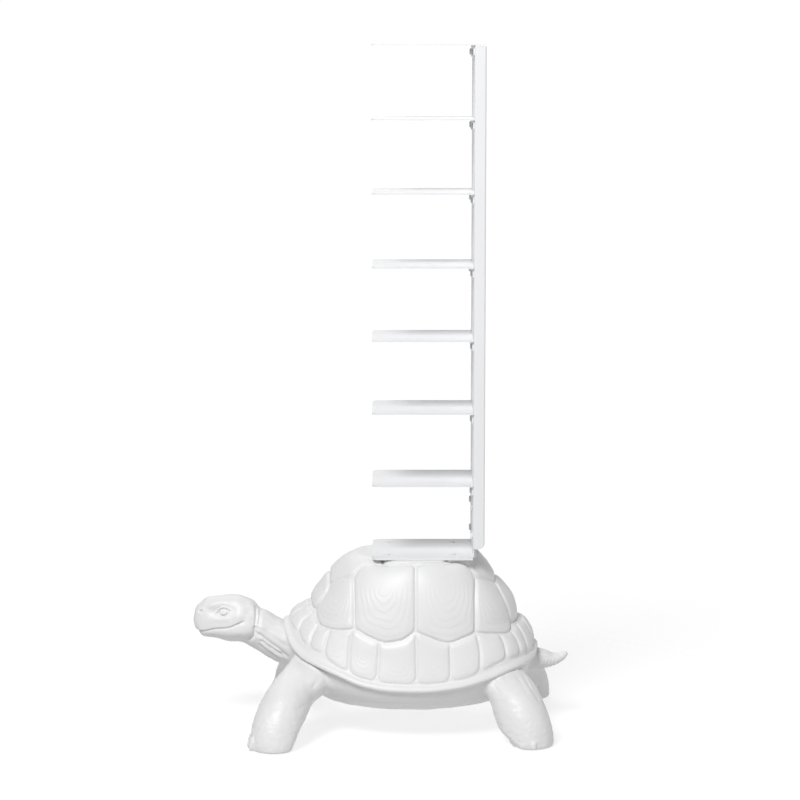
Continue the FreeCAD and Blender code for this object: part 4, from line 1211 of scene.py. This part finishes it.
LOOK = {"spine": powder, "foot_bracket": powder, "top_shelf": powder, "seat_screws": screw, "spine_bolts": screw, "shelf_screws": screw,
        "spine_nuts": zinc, "shelf_nuts": zinc, "seat_inserts": brass, "vent_plug": plug}
for name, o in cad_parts.items():
    if name == "tortoise_body":
        continue
    m = LOOK.get(name) or (powder if name.startswith("shelf_") else rubber)
    o.data.materials.clear()
    o.data.materials.append(m)
    if m is powder:
        bev = o.modifiers.new("soft_edges", "BEVEL")
        bev.width = 0.00035
        bev.segments = 2
        bev.limit_method = "ANGLE"
        bev.angle_limit = math.radians(35)
        bev.harden_normals = True

# ------------------------------------------------------------------ stage, light and camera
# a half-clear white sheet that fades out round the object, in a light tent whose far side (+Y) is bright
floor_m, nt, bsdf = new_material("studio_floor", (0.80, 0.80, 0.80), 0.6)
bsdf.inputs["Emission Color"].default_value = (1, 1, 1, 1)
bsdf.inputs["Emission Strength"].default_value = 0.30
clear = nt.nodes.new("ShaderNodeBsdfTransparent")
blend = nt.nodes.new("ShaderNodeMixShader")
coord = nt.nodes.new("ShaderNodeTexCoord")
away = nt.nodes.new("ShaderNodeVectorMath")
away.operation = "LENGTH"
nt.links.new(coord.outputs["Object"], away.inputs[0])
nt.links.new(ramp(nt, away.outputs["Value"], 0.35, 1.35, 0.42, 0.0), blend.inputs[0])
nt.links.new(clear.outputs[0], blend.inputs[1])
nt.links.new(bsdf.outputs[0], blend.inputs[2])
nt.links.new(blend.outputs[0], [n for n in nt.nodes if n.type == "OUTPUT_MATERIAL"][0].inputs[0])
me = bpy.data.meshes.new("studio_floor")
me.from_pydata([(-1.8, -1.8, 0), (1.8, -1.8, 0), (1.8, 1.8, 0), (-1.8, 1.8, 0)], [], [(0, 1, 2, 3)])
floor = bpy.data.objects.new("studio_floor", me)
bpy.context.scene.collection.objects.link(floor)
floor.data.materials.append(floor_m)

world = bpy.data.worlds.new("studio")
bpy.context.scene.world = world
world.use_nodes = True
nt = world.node_tree
bg = nt.nodes["Background"]
bg.inputs["Color"].default_value = (1.0, 1.0, 1.0, 1)
coord = nt.nodes.new("ShaderNodeTexCoord")
split_ = nt.nodes.new("ShaderNodeSeparateXYZ")
nt.links.new(coord.outputs["Generated"], split_.inputs[0])
below = ramp(nt, split_.outputs["Z"], -0.62, -0.34, 0.66, 1.03)
above = ramp(nt, split_.outputs["Z"], 0.06, 0.40, 1.0, 0.24)
far = ramp(nt, split_.outputs["Y"], -0.15, 0.65, 0.66, 1.0)
left_ = ramp(nt, split_.outputs["X"], -0.85, -0.20, 0.54, 1.0)
nt.links.new(math_node(nt, "MULTIPLY", math_node(nt, "MULTIPLY", below, above), math_node(nt, "MULTIPLY", far, left_)), bg.inputs["Strength"])


def area(name, loc, target, size, power, color=(1, 1, 1)):
    d = bpy.data.lights.new(name, "AREA")
    d.shape = "RECTANGLE"
    d.size, d.size_y = size
    d.energy = power
    d.color = color
    o = bpy.data.objects.new(name, d)
    bpy.context.scene.collection.objects.link(o)
    o.location = loc
    o.rotation_euler = (Vector(target) - Vector(loc)).to_track_quat("-Z", "Y").to_euler()
    return o


area("key_light", (-1.1, -2.6, 3.2), (0.0, 0.0, 0.2), (1.4, 1.4), 143.0)
area("fill_light", (2.9, -1.6, 1.7), (0.0, 0.0, 0.3), (1.5, 1.5), 10.0)
area("back_light", (-0.4, 2.8, 2.6), (0.0, 0.0, 0.5), (2.2, 1.2), 30.0)

cam = bpy.data.cameras.new("camera")
cam_o = bpy.data.objects.new("camera", cam)
bpy.context.scene.collection.objects.link(cam_o)
bpy.context.scene.camera = cam_o
cam.sensor_width = 36.0
cam.lens = 116.0
cam_o.location = (0.0288, -3.9, 1.041)
cam_o.rotation_euler = (math.radians(90.0 - 7.88), 0.0, 0.0)
cam.clip_start, cam.clip_end = 0.1, 60.0
bpy.context.scene.view_settings.view_transform = "Standard"
